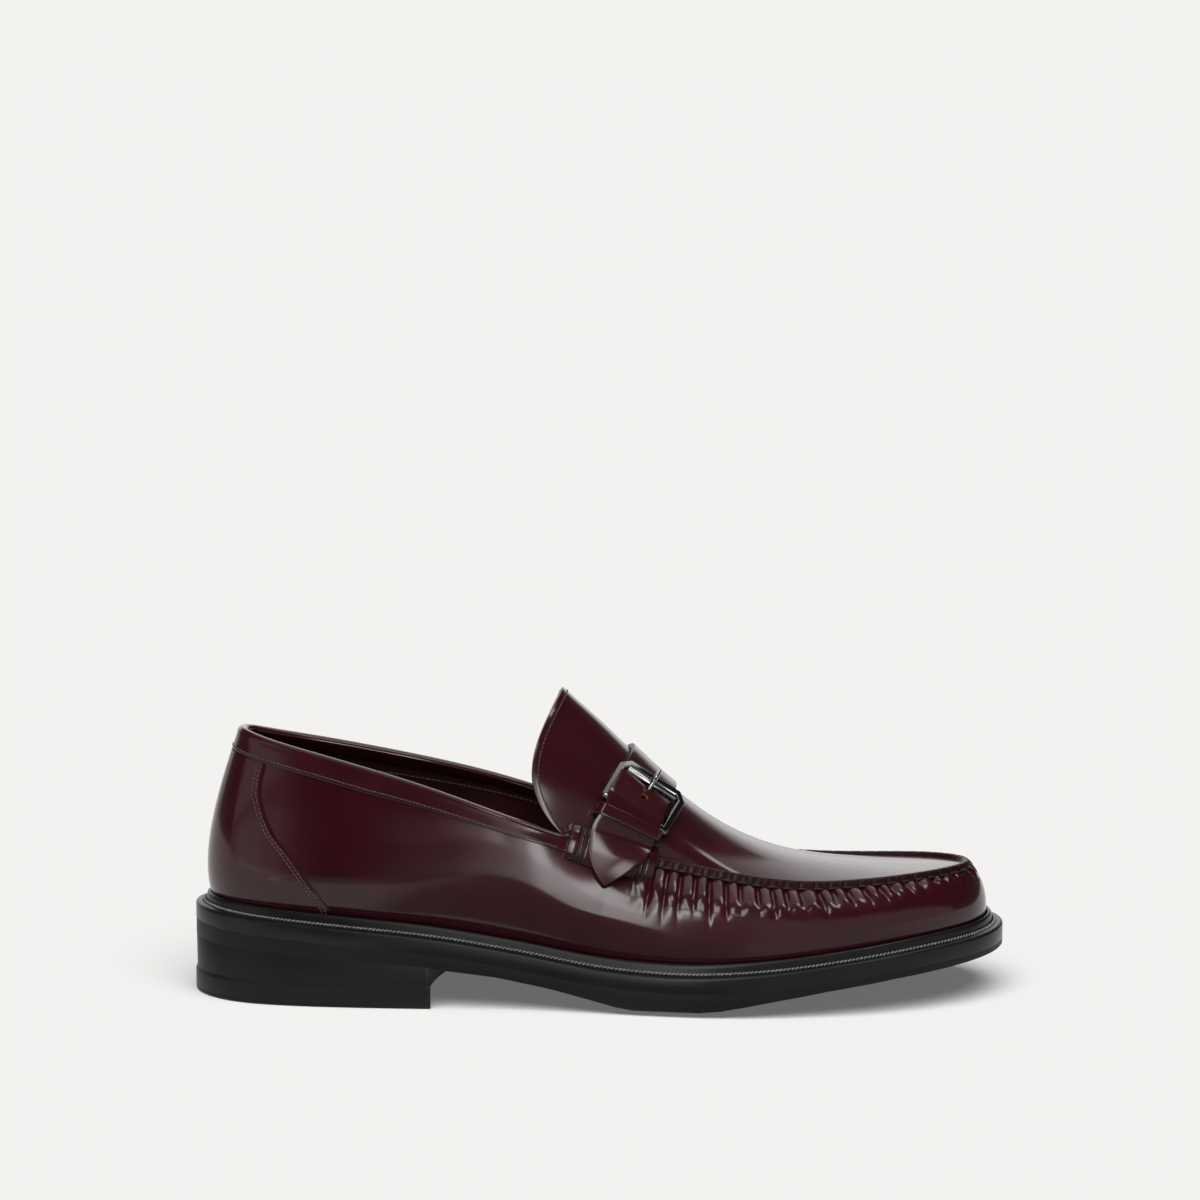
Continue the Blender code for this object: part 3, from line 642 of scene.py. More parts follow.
# apron and tongue
apronLook = dict(rows=190, columns=84, thickness=2.2 * mm, edgeRound=0.6 * mm, fan=0.41 * math.pi)


def makeApron(look):
    rows = 0.012 + 0.988 * np.linspace(0, 1, look["rows"]) ** 1.12
    across = np.sin(np.linspace(-1, 1, look["columns"]) * look["fan"]) / math.sin(look["fan"])
    grid = apronPoints(np.repeat(rows, len(across)), np.tile(across, len(rows)))
    piece = surface("apronTongue", grid.reshape(len(rows), len(across), 3), leather, lining, edgePaint)
    thicken(piece, look["thickness"], -1, 2, use_even_offset=True, material_offset=1)
    roundEdges(piece, look["edgeRound"], look=2)
    place(piece, "burgundy_leather", "apron_tongue")
    print("apron:", len(piece.data.polygons), "faces")


makeApron(apronLook)

# raised seam around the apron
seamLook = dict(columns=900, tickWidth=0.45 * mm, tickDepth=0.28 * mm, pillow=0.16 * mm)
# across and up from the wall's edge in mm, and how much of the pillow and of the tick each point takes
seamSection = ((1.9, -1.2, 0.2, 0.2), (1.75, -0.1, 0.5, 0.6), (1.45, 0.7, 1.0, 1.0), (1.2, 1.5, 1.0, 1.0),
               (0.95, 2.2, 0.8, 0.8), (0.55, 2.62, 0.4, 0.5), (0.0, 2.72, 0.2, 0.35), (-0.55, 2.6, 0.2, 0.3),
               (-1.0, 2.15, 0.2, 0.4), (-1.35, 1.4, 0.4, 0.5), (-1.75, 0.5, 0.3, 0.3), (-2.3, -0.3, 0.0, 0.0),
               (-2.5, -1.4, 0.0, 0.0), (0.0, -1.9, 0.0, 0.0))


def seamFrames(count):  # along the seam: places, points, outwards, upwards
    places = edgePlaces(-shell["seamEnd"], shell["seamEnd"], count)
    top = wallPoints(places, 1)
    up = np.tile((0.0, 0.0, 1.0), (count, 1))
    return places, top, outward(places), unit(clearOf(up, unit(np.gradient(top, axis=0))))


def seamHeight(s):  # the seam stands tall beside the strap and sinks towards the toe
    return np.interp(s, np.array((-110, -60, 0, 45, 85)) * mm, (0.35, 0.35, 0.5, 0.65, 1.0))


def makeApronSeam(look):
    places, top, out, up = seamFrames(look["columns"])
    s, end = seamLength(places), shell["seamEnd"]
    nearest = np.abs(s[:, None] - stitchMarks[None]).min(axis=1)
    tick = hill(nearest / look["tickWidth"])
    share = np.clip(nearest / (0.5 * upperLook["gatherPitch"]), 0, 1)
    pillow = look["pillow"] * np.sin(math.pi * share) ** 0.8
    tall = smooth(-end, 0.017 - end, places) * fade(end - 0.017, end, places) * seamHeight(s)
    grid = []
    for side, rise, puff, cut in seamSection:
        push = np.sign(side) * (pillow * puff - look["tickDepth"] * cut * tick)
        lift = rise * mm * np.where(rise > 0, 0.25 + 0.75 * tall, 1)
        if rise > 2:
            lift = lift - look["tickDepth"] * 0.6 * cut * tick
        grid.append(top + out * (side * mm + push)[:, None] + up * np.reshape(lift, (-1, 1)))
    piece = strip("apronSeam", np.stack(grid, axis=1)[:, ::-1], seamLeather)
    place(piece, "burgundy_leather")
    print("apron seam:", len(piece.data.polygons), "faces")


makeApronSeam(seamLook)

# binding around the collar
collarLook = dict(columns=420, start=0.268, depth=8.4 * mm, thickness=0.75 * mm, insideDepth=5.0 * mm)


def collarFit(places):  # the binding narrows towards the strap
    return np.interp(wallPoints(places, 1)[:, 0], (-0.135, -0.085, -0.02), (0.92, 0.97, 0.6))


def wallAt(places, distances, heights):  # points at distances down the wall and heights over it
    levels = np.clip(fallLevels(places, np.outer(distances, collarFit(places))), 0.0015, 0.9985).ravel()
    points = overWall(np.tile(places, len(distances)), levels, np.repeat(heights, len(places)))
    return points.reshape(len(distances), len(places), 3)


def makeCollar(look):
    places = edgePlaces(look["start"], 1 - look["start"], look["columns"])
    t, deep = look["thickness"], look["depth"]
    outside = wallAt(places, (deep, deep, deep - 0.25 * mm, deep - 0.6 * mm, deep - 1.6 * mm, 5.5 * mm,
                              3.2 * mm, 1.6 * mm, 0.5 * mm),
                     (-0.5 * mm, t * 0.55, t * 0.9, t, t, t * 0.95, t * 0.9, t, t * 1.15))
    inside = wallAt(places, (0.5 * mm, 1.6 * mm, 3.2 * mm, look["insideDepth"], look["insideDepth"]),
                    -shell["wall"] - np.array((t * 1.1, t, t * 0.8, t * 0.6, -0.6 * mm)))
    high, low = outside[-1], inside[0]
    rise = unit(wallPoints(places, 1) - wallPoints(places, 0.97))
    rise *= np.linalg.norm((high - low) / 2, axis=1)[:, None]
    grid = np.concatenate((outside, overRim(high, low, rise, (22, 45, 68, 90, 112, 135, 158)), inside))
    piece = strip("collarBinding", grid.transpose(1, 0, 2), bindingLeather, edgePaint)
    index = np.zeros(len(piece.data.polygons), np.int32)
    # the cut lower edge
    index[: (len(places) - 1) * len(grid)] = np.tile(np.arange(len(grid)) < 2, len(places) - 1)
    piece.data.polygons.foreach_set("material_index", index)
    place(piece, "burgundy_leather")
    print("collar:", len(piece.data.polygons), "faces")


makeCollar(collarLook)

# heel counter, laid over the quarters
counterLook = dict(columns=180, rows=60, thickness=0.7 * mm, top=8.2 * mm, solid=0.9 * mm)
counterEdge = np.array([(-99.0, 33.0), (-99.0, 35.0), (-103.0, 41.0), (-108.0, 48.0), (-113.0, 55.0),
                        (-119.0, 62.0), (-122.5, 69.0), (-124.6, 76.0), (-124.2, 81.0), (-122.0, 90.0),
                        (-121.0, 96.0)]) * mm  # x, height


def counterPlaces(levels, shift=0.0, outer=True):  # where the counter's front edge crosses each level
    low, high = np.full(len(levels), 0.36), np.full(len(levels), 0.485)
    for _ in range(30):
        middle = (low + high) / 2
        at = wallPoints(middle if outer else 1 - middle, levels)
        ahead = at[:, 0] > np.interp(at[:, 2], counterEdge[:, 1], counterEdge[:, 0]) - shift
        low, high = np.where(ahead, middle, low), np.where(ahead, high, middle)
    return middle if outer else 1 - middle


def makeCounter(look):
    top = float(fallLevels(np.array([0.45]), np.array([[look["top"]]]))[0, 0])
    levels = np.linspace(0.0, top, look["rows"])
    start, end = counterPlaces(levels)[:, None], counterPlaces(levels, outer=False)[:, None]
    f = np.linspace(0, 1, look["columns"])
    places = start * (1 - f) + end * f
    aside = np.minimum(f, 1 - f)[None] * np.abs(end - start) * 0.30  # metres from the edge, nearly
    heights = look["thickness"] * (0.55 + 0.45 * smooth(0, 0.8 * mm, aside))
    grid = overWall(places.ravel(), np.repeat(levels, len(f)), heights).reshape(*places.shape, 3)
    piece = surface("heelCounter", grid[::-1], leather, edgePaint)
    thicken(piece, look["solid"], -1)
    place(mend(piece), "burgundy_leather", sharp=50)
    print("counter:", len(piece.data.polygons), "faces")


makeCounter(counterLook)


# stitches: one is modelled, then laid along each row
def oneStitch():
    clearPick()
    bpy.ops.mesh.primitive_uv_sphere_add(segments=8, ring_count=6, radius=1.0,
                                         rotation=(0, math.radians(90), 0))
    bpy.ops.object.transform_apply(rotation=True)
    piece = bpy.context.object
    points = np.array([v.co[:] for v in piece.data.vertices])
    points[:, 0] = np.sign(points[:, 0]) * np.abs(points[:, 0]) ** 0.6  # fuller ends
    points[:, 2] -= 0.9 * np.maximum(0, np.abs(points[:, 0]) - 0.45) ** 2 * 3  # ends dip into their holes
    faces = [tuple(p.vertices) for p in piece.data.polygons]
    bpy.data.objects.remove(piece, do_unlink=True)
    return points, faces


stitchPoints, stitchFaces = oneStitch()


def layStitches(name, spots, ahead, side, up, halves, thick, thread, slot):
    ways = ahead * np.reshape(halves, (-1, 1)), side * thick, up * thick
    shares = stitchPoints.T[:, None, :, None]
    points = spots[:, None] + sum(way[:, None] * share for way, share in zip(ways, shares))
    mesh = bpy.data.meshes.new(name)
    starts = range(0, len(spots) * len(stitchPoints), len(stitchPoints))
    faces = [tuple(start + corner for corner in face) for start in starts for face in stitchFaces]
    mesh.from_pydata(points.reshape(-1, 3).tolist(), [], faces)
    return place(mend(newObject(name, mesh, thread)), slot)


def stitchRow(name, path, ups, look, slot="burgundy_leather"):
    # path and ups are fine lines of points and of the surface's directions
    count = max(2, int(runLength(path)[-1] / look["pitch"]))
    index = byLength(path, count) * (len(path) - 1)
    spots, up = pointsOn(path, index), unit(pointsOn(ups, index))
    side = unit(np.cross(up, unit(np.gradient(spots, axis=0))))
    ahead, slant = np.cross(side, up), math.radians(look.get("slant", 0))
    c, s = math.cos(slant), math.sin(slant)
    ahead, side = ahead * c + side * s, side * c - ahead * s
    halves = look["length"] / 2 * (1 + rolls(count, -0.08, 0.08))
    layStitches(name, spots + up * look["lift"], ahead, side, up, halves, look["thick"] / 2,
                look["thread"], slot)


def sewRow(name, path, ups, look):  # stitches, with a dark cord sunk just under them along the row as painted shade of their groove
    stitchRow(name, path, ups, look)
    # the dark cord: painted shade where the stitches pull the leather into a groove
    groove = path[::2] - unit(ups[::2]) * look["sink"]
    place(tube(name + "GrooveShade", groove, look["groove"], darkThreadAndGrooveShade), "burgundy_leather")


# the last two: how deep and how thick the dark cord under each row lies, painted shade of the stitch groove
fineStitch = dict(pitch=1.5 * mm, length=1.2 * mm, thick=0.5 * mm, lift=0.12 * mm, thread=brownThread,
                  sink=0.13 * mm, groove=0.33 * mm)
seamStitch = dict(pitch=upperLook["gatherPitch"], length=4.7 * mm, thick=0.75 * mm, lift=0.1 * mm,
                  thread=darkThreadAndGrooveShade)
weltStitch = dict(pitch=1.5 * mm, length=1.9 * mm, thick=0.75 * mm, lift=0.28 * mm, thread=weltThread,
                  slant=32)


def sewCollar():
    places = edgePlaces(0.275, 0.725, 700)
    for name, deep, height, look in (
            ("collarStitches", 7.1 * mm, collarLook["thickness"], fineStitch),
            ("liningStitches", 9.0 * mm, -shell["wall"], dict(fineStitch, pitch=2.0 * mm, length=1.5 * mm))):
        path = wallAt(places, (deep,), (height,))[0]
        sewRow(name, path, wallAt(places, (deep,), (height + math.copysign(1 * mm, height),))[0] - path, look)


def sewCounter():
    levels = np.linspace(0.0, 0.83, 200)
    for name, shift in (("Front", 1.5 * mm), ("Back", 2.9 * mm)):
        for side, outer in (("Outer", True), ("Inner", False)):
            places = counterPlaces(levels, shift, outer)
            path = overWall(places, levels, counterLook["thickness"])
            sewRow("counterStitches" + name + side, path, wallNormals(places, levels), fineStitch)


def sewTongue(margin=2.1 * mm):
    across, rows = np.linspace(-0.985, 0.985, 600), np.ones(600)
    edge = apronPoints(rows, across)
    ahead = unit(np.gradient(edge, axis=0))
    for _ in range(4):  # a steady margin from the free edge
        far = np.linalg.norm(clearOf(apronPoints(rows - 0.002, across) - edge, ahead), axis=1)
        rows = 1 - (1 - rows + 0.002) * margin / np.maximum(far, 0.2 * mm)
    along = apronPoints(rows - 0.004, across) - apronPoints(rows + 0.004, across)
    over = apronPoints(rows, across + 0.004) - apronPoints(rows, across - 0.004)
    normals = unit(np.cross(along, over))
    normals *= np.sign(normals[:, 2:3])
    sewRow("tongueStitches", apronPoints(rows, across), normals,
           dict(fineStitch, pitch=1.7 * mm, length=1.35 * mm))


def sewApronSeam():
    # running thread along the foot of the seam, and an upright thread at every mark
    places, top, out, up = seamFrames(2200)
    s = seamLength(places)
    keep = (s > gatherFrom) & (s < gatherTo)
    foot = top + out * 2.15 * mm - up * 0.2 * mm
    stitchRow("seamThread", foot[keep], (out * 0.8 + up * 0.6)[keep], seamStitch)
    nearest = np.abs(s[None] - stitchMarks[:, None]).argmin(axis=1)
    top, out, up, tall = top[nearest], out[nearest], up[nearest], seamHeight(stitchMarks)[:, None]
    ahead = unit(up - out * 0.32)
    side = np.cross(ahead, out)
    layStitches("seamTicks", top + out * 1.25 * mm + up * 1.1 * mm * tall, ahead, side, np.cross(side, ahead),
                (0.35 + 1.4 * tall) * mm, 0.26 * mm, darkThreadAndGrooveShade, "burgundy_leather")


sewCollar()
sewCounter()
sewTongue()
sewApronSeam()
print("stitches sewn")

# welt: inset from the sole's edge, height over the welt's outer edge, in mm
weltLook = dict(columns=520, stitchInset=3.45 * mm, stitchRise=0.45 * mm, section=(
    (2.0, -6.2), (0.55, -6.2), (0.42, -6.1), (0.36, -5.9), (0.36, -1.0), (0.5, -0.45), (0.85, -0.1),
    (1.3, 0.1), (2.2, 0.3), (2.6, 0.38), (2.8, 0.2), (3.1, 0.12), (4.0, 0.3), (4.25, 0.75), (4.35, 1.6),
    (4.5, 2.6), (4.7, 3.35), (5.0, 3.8), (5.4, 4.0), (5.85, 3.95), (6.2, 3.65), (6.35, 3.1), (6.4, 0.0),
    (6.4, -3.9)))


def weltPath(places, inset, rise):
    plan = planPoints(places, inset)
    return np.column_stack((plan, heightAt(weltLine, plan[:, 0]) + rise))


def makeWelt(look):
    places = solePlaces(look["columns"])
    rings = [weltPath(places, inset * mm, rise * mm) for inset, rise in look["section"]]
    piece = surface("stormWelt", rings[::-1], weltRubber, ringColumns=True, ringRows=True)
    place(mend(piece), "welt_rubber", "welt")
    places = np.concatenate((places, places[:1]))
    path, ups = weltPath(places, look["stitchInset"], look["stitchRise"]), outward(places) * 0.5 + (0, 0, 1)
    stitchRow("weltStitches", path, unit(ups), weltStitch, "welt_rubber")
    print("welt:", len(piece.data.polygons), "faces")


makeWelt(weltLook)

# outsole, heel and sock
soleLook = dict(columns=340, edgeInset=0.4 * mm, treadLift=2.0 * mm, liftWidth=15 * mm, bottomRound=0.9 * mm,
                sockColumns=200, sockInset=9.3 * mm, sock=3.4 * mm, heelColumns=260, breast=-58.8 * mm)
# height and inset of the heel's side from the top down; from 20 up it is counted from the tread
heelProfile = ((22, 2.5), (21, 0.9), (20.2, 0.45), (9.2, 0.6), (8.7, 0.6), (8.3, 0.3), (8.0, 0.1), (7.6, 0.0),
               (1.9, 0.0), (1.7, 0.12), (1.45, 0.12), (1.25, 0.0), (0.6, 0.08), (0.2, 0.35), (0.0, 0.8))


def solidPlate(name, outline, top, bottom, material, lift=0.0, roundEdge=0.8 * mm):
    # an outline filled, cut across, drawn out to a plate and its edges rounded
    stations = sorted(set(treadLine[1:-1, 0]) | set(np.linspace(-0.145, 0.147, 44)))
    cuts = [((x, 0, 0), (1, 0, 0)) for x in stations]
    if lift:
        cuts += [((0, y * mm, 0), (0, 1, 0)) for y in (-38, -28, -15, 0, 15, 28, 38)]
    mesh = bpy.data.meshes.new(name)
    mesh.from_pydata([(x, y, 0.0) for x, y in outline], [], [tuple(range(len(outline)))])
    piece = mend(newObject(name, mesh, material))
    editAll(piece)
    for point, normal in cuts:
        bpy.ops.mesh.select_all(action="SELECT")
        bpy.ops.mesh.bisect(plane_co=point, plane_no=normal)
    bpy.ops.mesh.select_all(action="SELECT")
    bpy.ops.mesh.remove_doubles(threshold=0.5 * mm)
    bpy.ops.mesh.extrude_region_move(TRANSFORM_OT_translate={"value": (0, 0, -0.05)})
    editDone()
    points = np.array([v.co[:] for v in piece.data.vertices])
    toEdge = np.array([np.hypot(*(outline - p[:2]).T).min() for p in points])
    nearEdge = 1 - np.clip((toEdge - 0.6 * mm) / soleLook["liftWidth"], 0, 1)
    x, lower = points[:, 0], points[:, 2] < -0.01
    rising = np.clip((x - soleLook["breast"]) / 0.04, 0, 1)
    points[:, 2] = np.where(lower, bottom(x) + lift * rising * nearEdge, top(x))
    piece.data.vertices.foreach_set("co", points.ravel().astype(np.float32))
    return roundEdges(mend(piece), roundEdge)


def heelOutline(inset):
    def breastX(y):  # hollow, and further forward on the inner side
        aside = y / 0.032
        return soleLook["breast"] + 3.8 * mm * aside - 4.5 * mm * (1 - aside**2)
    ring = planPoints(solePlaces(900), inset)
    behind = ring[ring[:, 0] < breastX(ring[:, 1])]
    behind = np.roll(behind, -int(np.argmin(np.where(behind[:, 0] > -0.08, behind[:, 1], 1))), axis=0)
    behind = np.concatenate((behind[::3], behind[-1:]))
    ys = np.linspace(behind[-1, 1], behind[0, 1], 21)
    return np.concatenate((behind[1:-1], np.column_stack((breastX(ys), ys))))


def evenRing(ring, count):  # the same number of points on every ring, from the breast's outer corner on
    closed = np.concatenate((ring, ring[:1]))
    return np.column_stack((pointsOn(closed, byLength(closed, count, True) * len(ring)), np.zeros(count)))


def makeSole(look):
    outline = planPoints(solePlaces(look["columns"]), look["edgeInset"])
    body = solidPlate("outsole_body", outline, soleTop, treadAt, rubber, look["treadLift"],
                      look["bottomRound"])
    place(body, "sole_rubber", "outsole", sharp=40)
    rings, plain = [], evenRing(heelOutline(0.25 * mm), look["heelColumns"])
    for height, inset in heelProfile:
        ring = evenRing(heelOutline(inset * mm), look["heelColumns"])
        if 1 < height < 21:
            ring += (plain - ring) * 0.75 * smooth(-0.143, -0.118, ring[:, :1])
        ring[:, 2] = height * mm if height < 12 else treadAt(ring[:, 0]) + (height - 20) * mm
        rings.append(ring)
    heel = strip("heelBlock", rings[::-1], heelRubber)
    place(heel, "heel_rubber", "heel_stack", "top_piece", sharp=40)
    outline = planPoints(solePlaces(look["sockColumns"]), look["sockInset"])
    sock = solidPlate("sockLining", outline, lambda x: soleTop(x) + shell["gap"] + look["sock"],
                      lambda x: soleTop(x) + shell["gap"], sockLeather)
    place(sock, "insole_board", "insole", sharp=50)
    print("sole, heel and sock:", len(body.data.polygons) + len(heel.data.polygons), "faces")


makeSole(soleLook)

# strap
strapLook = dict(width=21.4 * mm, thickness=1.9 * mm, tip=-1.375, point=0.43, end=1.16, edgeRound=0.45 * mm,
                 columns=15, tipLift=1.1 * mm, tipSwing=0.16)
# place across, mm over the skin
strapLevels = np.array([(-1.5, 2.6), (-1.2, 3.0), (-0.98, 3.6), (-0.87, 4.0), (-0.745, 5.4), (-0.64, 5.4),
                        (-0.42, 1.1), (-0.27, 0.4), (0.4, 0.4), (0.56, 2.4), (1.5, 2.6)])


def strapLevel(places):
    fine = np.linspace(-1.6, 1.6, 641)
    window = np.hanning(19)
    rough = np.pad(np.interp(fine, *strapLevels.T), len(window) // 2, mode="edge")
    return np.interp(places, fine, np.convolve(rough, window / window.sum(), mode="valid")) * mm


def strapFrame(across, height):  # X across the strap towards the toe, Y up along it, Z outwards
    middle, sideA, sideB, pathA, pathB = (Vector(p) for p in bandPoints(
        across + np.array((0, 0, 0, 0.05, -0.05)), np.array((0, 6 * mm, -6 * mm, 0, 0)), height))
    side = (sideA - sideB).normalized()
    normal = side.cross(pathA - pathB).normalized()
    turned = Matrix((side, normal.cross(side), normal)).transposed().to_4x4()
    return Matrix.Translation(middle) @ turned


# the two holes: along the strap, width, length in mm
buckleLook = dict(place=-0.495, rise=2.7 * mm, tilt=math.radians(3), width=28.0 * mm, length=20.0 * mm,
                  bar=3.2 * mm, corner=3.4 * mm, lowCorner=0.9 * mm, foot=1.1 * mm, crown=2.6 * mm,
                  roller=2.3 * mm, shift=(0.8 * mm, -1.0 * mm, 0.2 * mm),
                  turns=(("Z", -3.5), ("Y", -5.0), ("X", -1.0)), prongHole=(3.9, 3.0, 4.6),
                  spareHole=(-2.2, 2.9, 2.9))
buckleLevel = strapFrame(buckleLook["place"], buckleLook["rise"]) @ Matrix.Translation(buckleLook["shift"])
for axis, turn in buckleLook["turns"]:
    buckleLevel = buckleLevel @ Matrix.Rotation(math.radians(turn), 4, axis)
frameLevel = buckleLevel @ Matrix.Rotation(buckleLook["tilt"], 4, "X")


def punch(piece, along, width, length):
    clearPick()
    bpy.ops.mesh.primitive_cylinder_add(vertices=28, radius=1.0, depth=14 * mm)
    cutter = named("punch", rawEdge)
    shape = Matrix.Diagonal((width / 2 * mm, length / 2 * mm, 1, 1))
    cutter.data.transform(buckleLevel @ Matrix.Translation((0, along * mm, 0)) @ shape)
    addModifier(piece, "BOOLEAN", object=cutter, material_mode="TRANSFER")
    bpy.data.objects.remove(cutter, do_unlink=True)


def makeStrap(look):
    shoulder, columns = look["tip"] + look["point"], look["columns"]
    places = np.concatenate((look["tip"] + look["point"] * np.linspace(0.0, 1.0, 26) ** 1.3,
                             np.linspace(shoulder, look["end"], 110)[1:]))
    places = places[np.abs(np.abs(places) - 1) > 0.07]  # it bridges the seams
    along = (places - look["tip"]) / look["point"]
    point, belly = 1 - 0.97 * (1 - np.minimum(along, 1)) ** 2, 1 + 0.1 * hill((along - 1.05) / 0.45)
    halves = look["width"] / 2 * point * belly
    a = np.repeat(places, columns)
    side = (halves[:, None] * np.linspace(-1, 1, columns)[None]).ravel()
    swing = side * look["tipSwing"] * fade(-1.1, -0.8, a)  # the loose tip turns a little to the heel
    grid = bandPoints(a, side, np.repeat(strapLevel(places), columns) + swing)
    grid = grid.reshape(len(places), columns, 3)
    tip = places < -0.8  # the loose tip is one smooth curve, whatever lies under it
    u, w = (a + 1.0)[np.repeat(tip, columns)], side[np.repeat(tip, columns)] / halves.max()
    terms = np.column_stack((np.ones(len(u)), u, u**2, w, u * w))
    curve = np.linalg.lstsq(terms, grid[tip].reshape(-1, 3), rcond=None)[0]
    eased = (terms @ curve + unit(np.cross(curve[3], curve[1])) * look["tipLift"]).reshape(-1, columns, 3)
    share = smooth(0.82, 1.0, -places[tip])[:, None, None]
    grid[tip] = grid[tip] * (1 - share) + eased * share
    piece = surface("buckleStrap", grid, strapLeather, edgePaint)
    thicken(piece, look["thickness"], 1, use_even_offset=True)
    place(roundEdges(piece, look["edgeRound"], look=1), "strap_leather", "buckle_strap", sharp=60)
    punch(piece, *buckleLook["prongHole"])
    punch(piece, *buckleLook["spareHole"])
    pick(piece)
    bpy.ops.object.shade_smooth_by_angle(angle=math.radians(45))
    print("strap:", len(piece.data.polygons), "faces")


# saddle tabs: flat between keeper and seam, then a roll that straddles the seam, bound with cords
saddleLook = dict(columns=61, rows=40, top=0.75, foot=0.965, widthAtTop=18.6 * mm, widthAtSeam=34.0 * mm,
                  thickness=1.4 * mm, level=0.5 * mm, rollColumns=121, rollWidth=15.0 * mm,
                  rollHeight=5.2 * mm, cords=(-12.9, -11.2, 11.2, 12.9), cord=0.5 * mm, bound=0.4125 * mm)


def rollSection(look, start, end, count):  # across and up, a flattened half round
    angles = np.radians(np.linspace(start, end, count))
    c, s = np.cos(angles)[:, None], np.sin(angles)[:, None]
    return (np.sign(c) * np.abs(c) ** 0.85 * look["rollWidth"] / 2,
            np.sign(s) * np.abs(s) ** 0.9 * look["rollHeight"])


def makeSaddle(name, node, turn, look):
    aside, v = np.linspace(-1, 1, look["columns"]), np.linspace(0, 1, look["rows"])
    middle = float(seamLength(-turn * strapRow(np.array([1.0])) * shell["tongueEnd"])[0])
    seamPlaces = seamPlace(middle + np.sign(middle) * aside * look["widthAtSeam"] / 2)
    rowsSeam = np.abs(seamPlaces) / shell["tongueEnd"]
    topRow, topPlace = strapRow(np.array([look["top"]])), turn * look["top"]
    perRow = np.linalg.norm(overSkin(topRow + 0.01, topPlace, 0.0) - overSkin(topRow, topPlace, 0.0)) / 0.01
    rowsTop = topRow + aside * look["widthAtTop"] / 2 / perRow
    spread = v[:, None] ** 1.6  # it widens towards the seam
    rows = rowsTop * (1 - spread) + rowsSeam * spread
    across = turn * (look["top"] + (look["foot"] - look["top"]) * v)
    height = look["level"] + 0.9 * mm * smooth(0.6, 1.0, v)
    grid = overSkin(rows.ravel(), np.repeat(across, len(aside)), np.repeat(height, len(aside)))
    piece = surface(name, grid.reshape(*rows.shape, 3), strapLeather, edgePaint)
    thicken(piece, look["thickness"], -turn, use_even_offset=True)
    place(mend(roundEdges(piece, 0.3 * mm)), "strap_leather", node, sharp=60)

    lengths = np.linspace(-0.5, 0.5, look["rollColumns"]) * look["widthAtSeam"]
    along = seamPlace(middle + lengths)
    wall, edge, rows = wallNormals(along, 0.99), wallPoints(along, 1), np.abs(along) / shell["tongueEnd"]
    down = unit(skin(rows, turn * 0.97) - skin(rows, turn * 0.90))
    ahead = unit(np.gradient(edge, axis=0))
    apron = unit(np.cross(ahead, down))
    apron *= np.sign((apron * wall).sum(1))[:, None]
    normal = unit(clearOf(unit(wall + apron), ahead))
    wide, centre = np.cross(ahead, normal), edge + down * 0.9 * mm
    cords = sum(hill((lengths - at * mm) / (0.75 * mm)) for at in look["cords"])
    pull = 1 - cords * look["bound"] / look["rollHeight"]
    full = ((1 - 0.12 * np.abs(lengths / lengths[-1]) ** 6) * pull)[:, None, None]
    w, h = rollSection(look, -22, 202, 25)
    rings = centre[:, None] + wide[:, None] * w * full + normal[:, None] * h * full
    roll = roundEdges(strip(name + "Roll", rings, strapLeather), 0.5 * mm, angle=55)
    place(roll, "strap_leather", sharp=60)
    w, h = rollSection(look, -20, 200, 33)
    for k, at in enumerate(look["cords"]):
        j = int(np.argmin(np.abs(lengths - at * mm)))
        path = centre[j] + wide[j] * w * 0.93 + normal[j] * h * 0.94
        place(tube(name + "Cord" + str(k + 1), path, look["cord"], darkThreadAndGrooveShade), "strap_leather")


keeperLook = dict(place=-0.762, span=26.4 * mm, width=3.6 * mm, thickness=1.3 * mm, low=0.9 * mm,
                  bend=1.7 * mm, rows=7)


def makeKeeper(look):
    half, bend, where = look["span"] / 2 - look["thickness"] / 2, look["bend"], look["place"]
    count = look["rows"]
    top = float(strapLevel(np.array([where]))[0]) + strapLook["thickness"] + 0.9 * mm + look["thickness"] / 2
    profile = [(-half, look["low"]), (-half, look["low"] + 2 * mm)]
    profile += [(-half + bend - bend * math.cos(a), top - bend + bend * math.sin(a))
                for a in np.radians(np.linspace(0, 90, 7))]
    profile += [(side * half, top + (0.5 - 0.9 * side**2) * mm) for side in (-0.6, -0.3)]
    profile += [(0.0, top + 0.5 * mm)] + [(-side, height) for side, height in reversed(profile)]
    sides, heights = np.array(profile).T
    near = bandPoints(where + np.array((-0.02, 0.02)), 0, look["low"])
    perMetre = 0.04 / np.linalg.norm(near[1] - near[0])
    shifts = np.linspace(-look["width"] / 2, look["width"] / 2, count) * perMetre
    grid = bandPoints(np.repeat(where + shifts, len(profile)), np.tile(sides, count), np.tile(heights, count))
    piece = surface("keeperLoop", grid.reshape(count, len(profile), 3), strapLeather, edgePaint)
    thicken(piece, look["thickness"], 0, use_even_offset=True)
    place(mend(roundEdges(piece, 0.3 * mm)), "strap_leather", "keeper", sharp=60)


makeStrap(strapLook)
makeSaddle("saddleOuter", "saddle_lateral", -1, saddleLook)
makeSaddle("saddleInner", "saddle_medial", 1, dict(saddleLook, rollHeight=4.3 * mm))
makeKeeper(keeperLook)
print("strap, saddle tabs and keeper done")


# buckle
def frameRing(look, inset, height):  # upper corners cut off, lower corners nearly square
    halfX, halfY = look["width"] / 2 - inset, look["length"] / 2 - inset
    less = 0.586 * inset  # an even margin shortens a cut corner by this much
    cut, low = max(look["corner"] - less, 0.3 * mm), max(look["lowCorner"] - less, 0.25 * mm)
    right = [(halfX - low, -halfY), (halfX, low - halfY), (halfX, halfY - cut), (halfX - cut, halfY)]
    return [(x, y, height) for x, y in right + [(-x, y) for x, y in reversed(right)]]


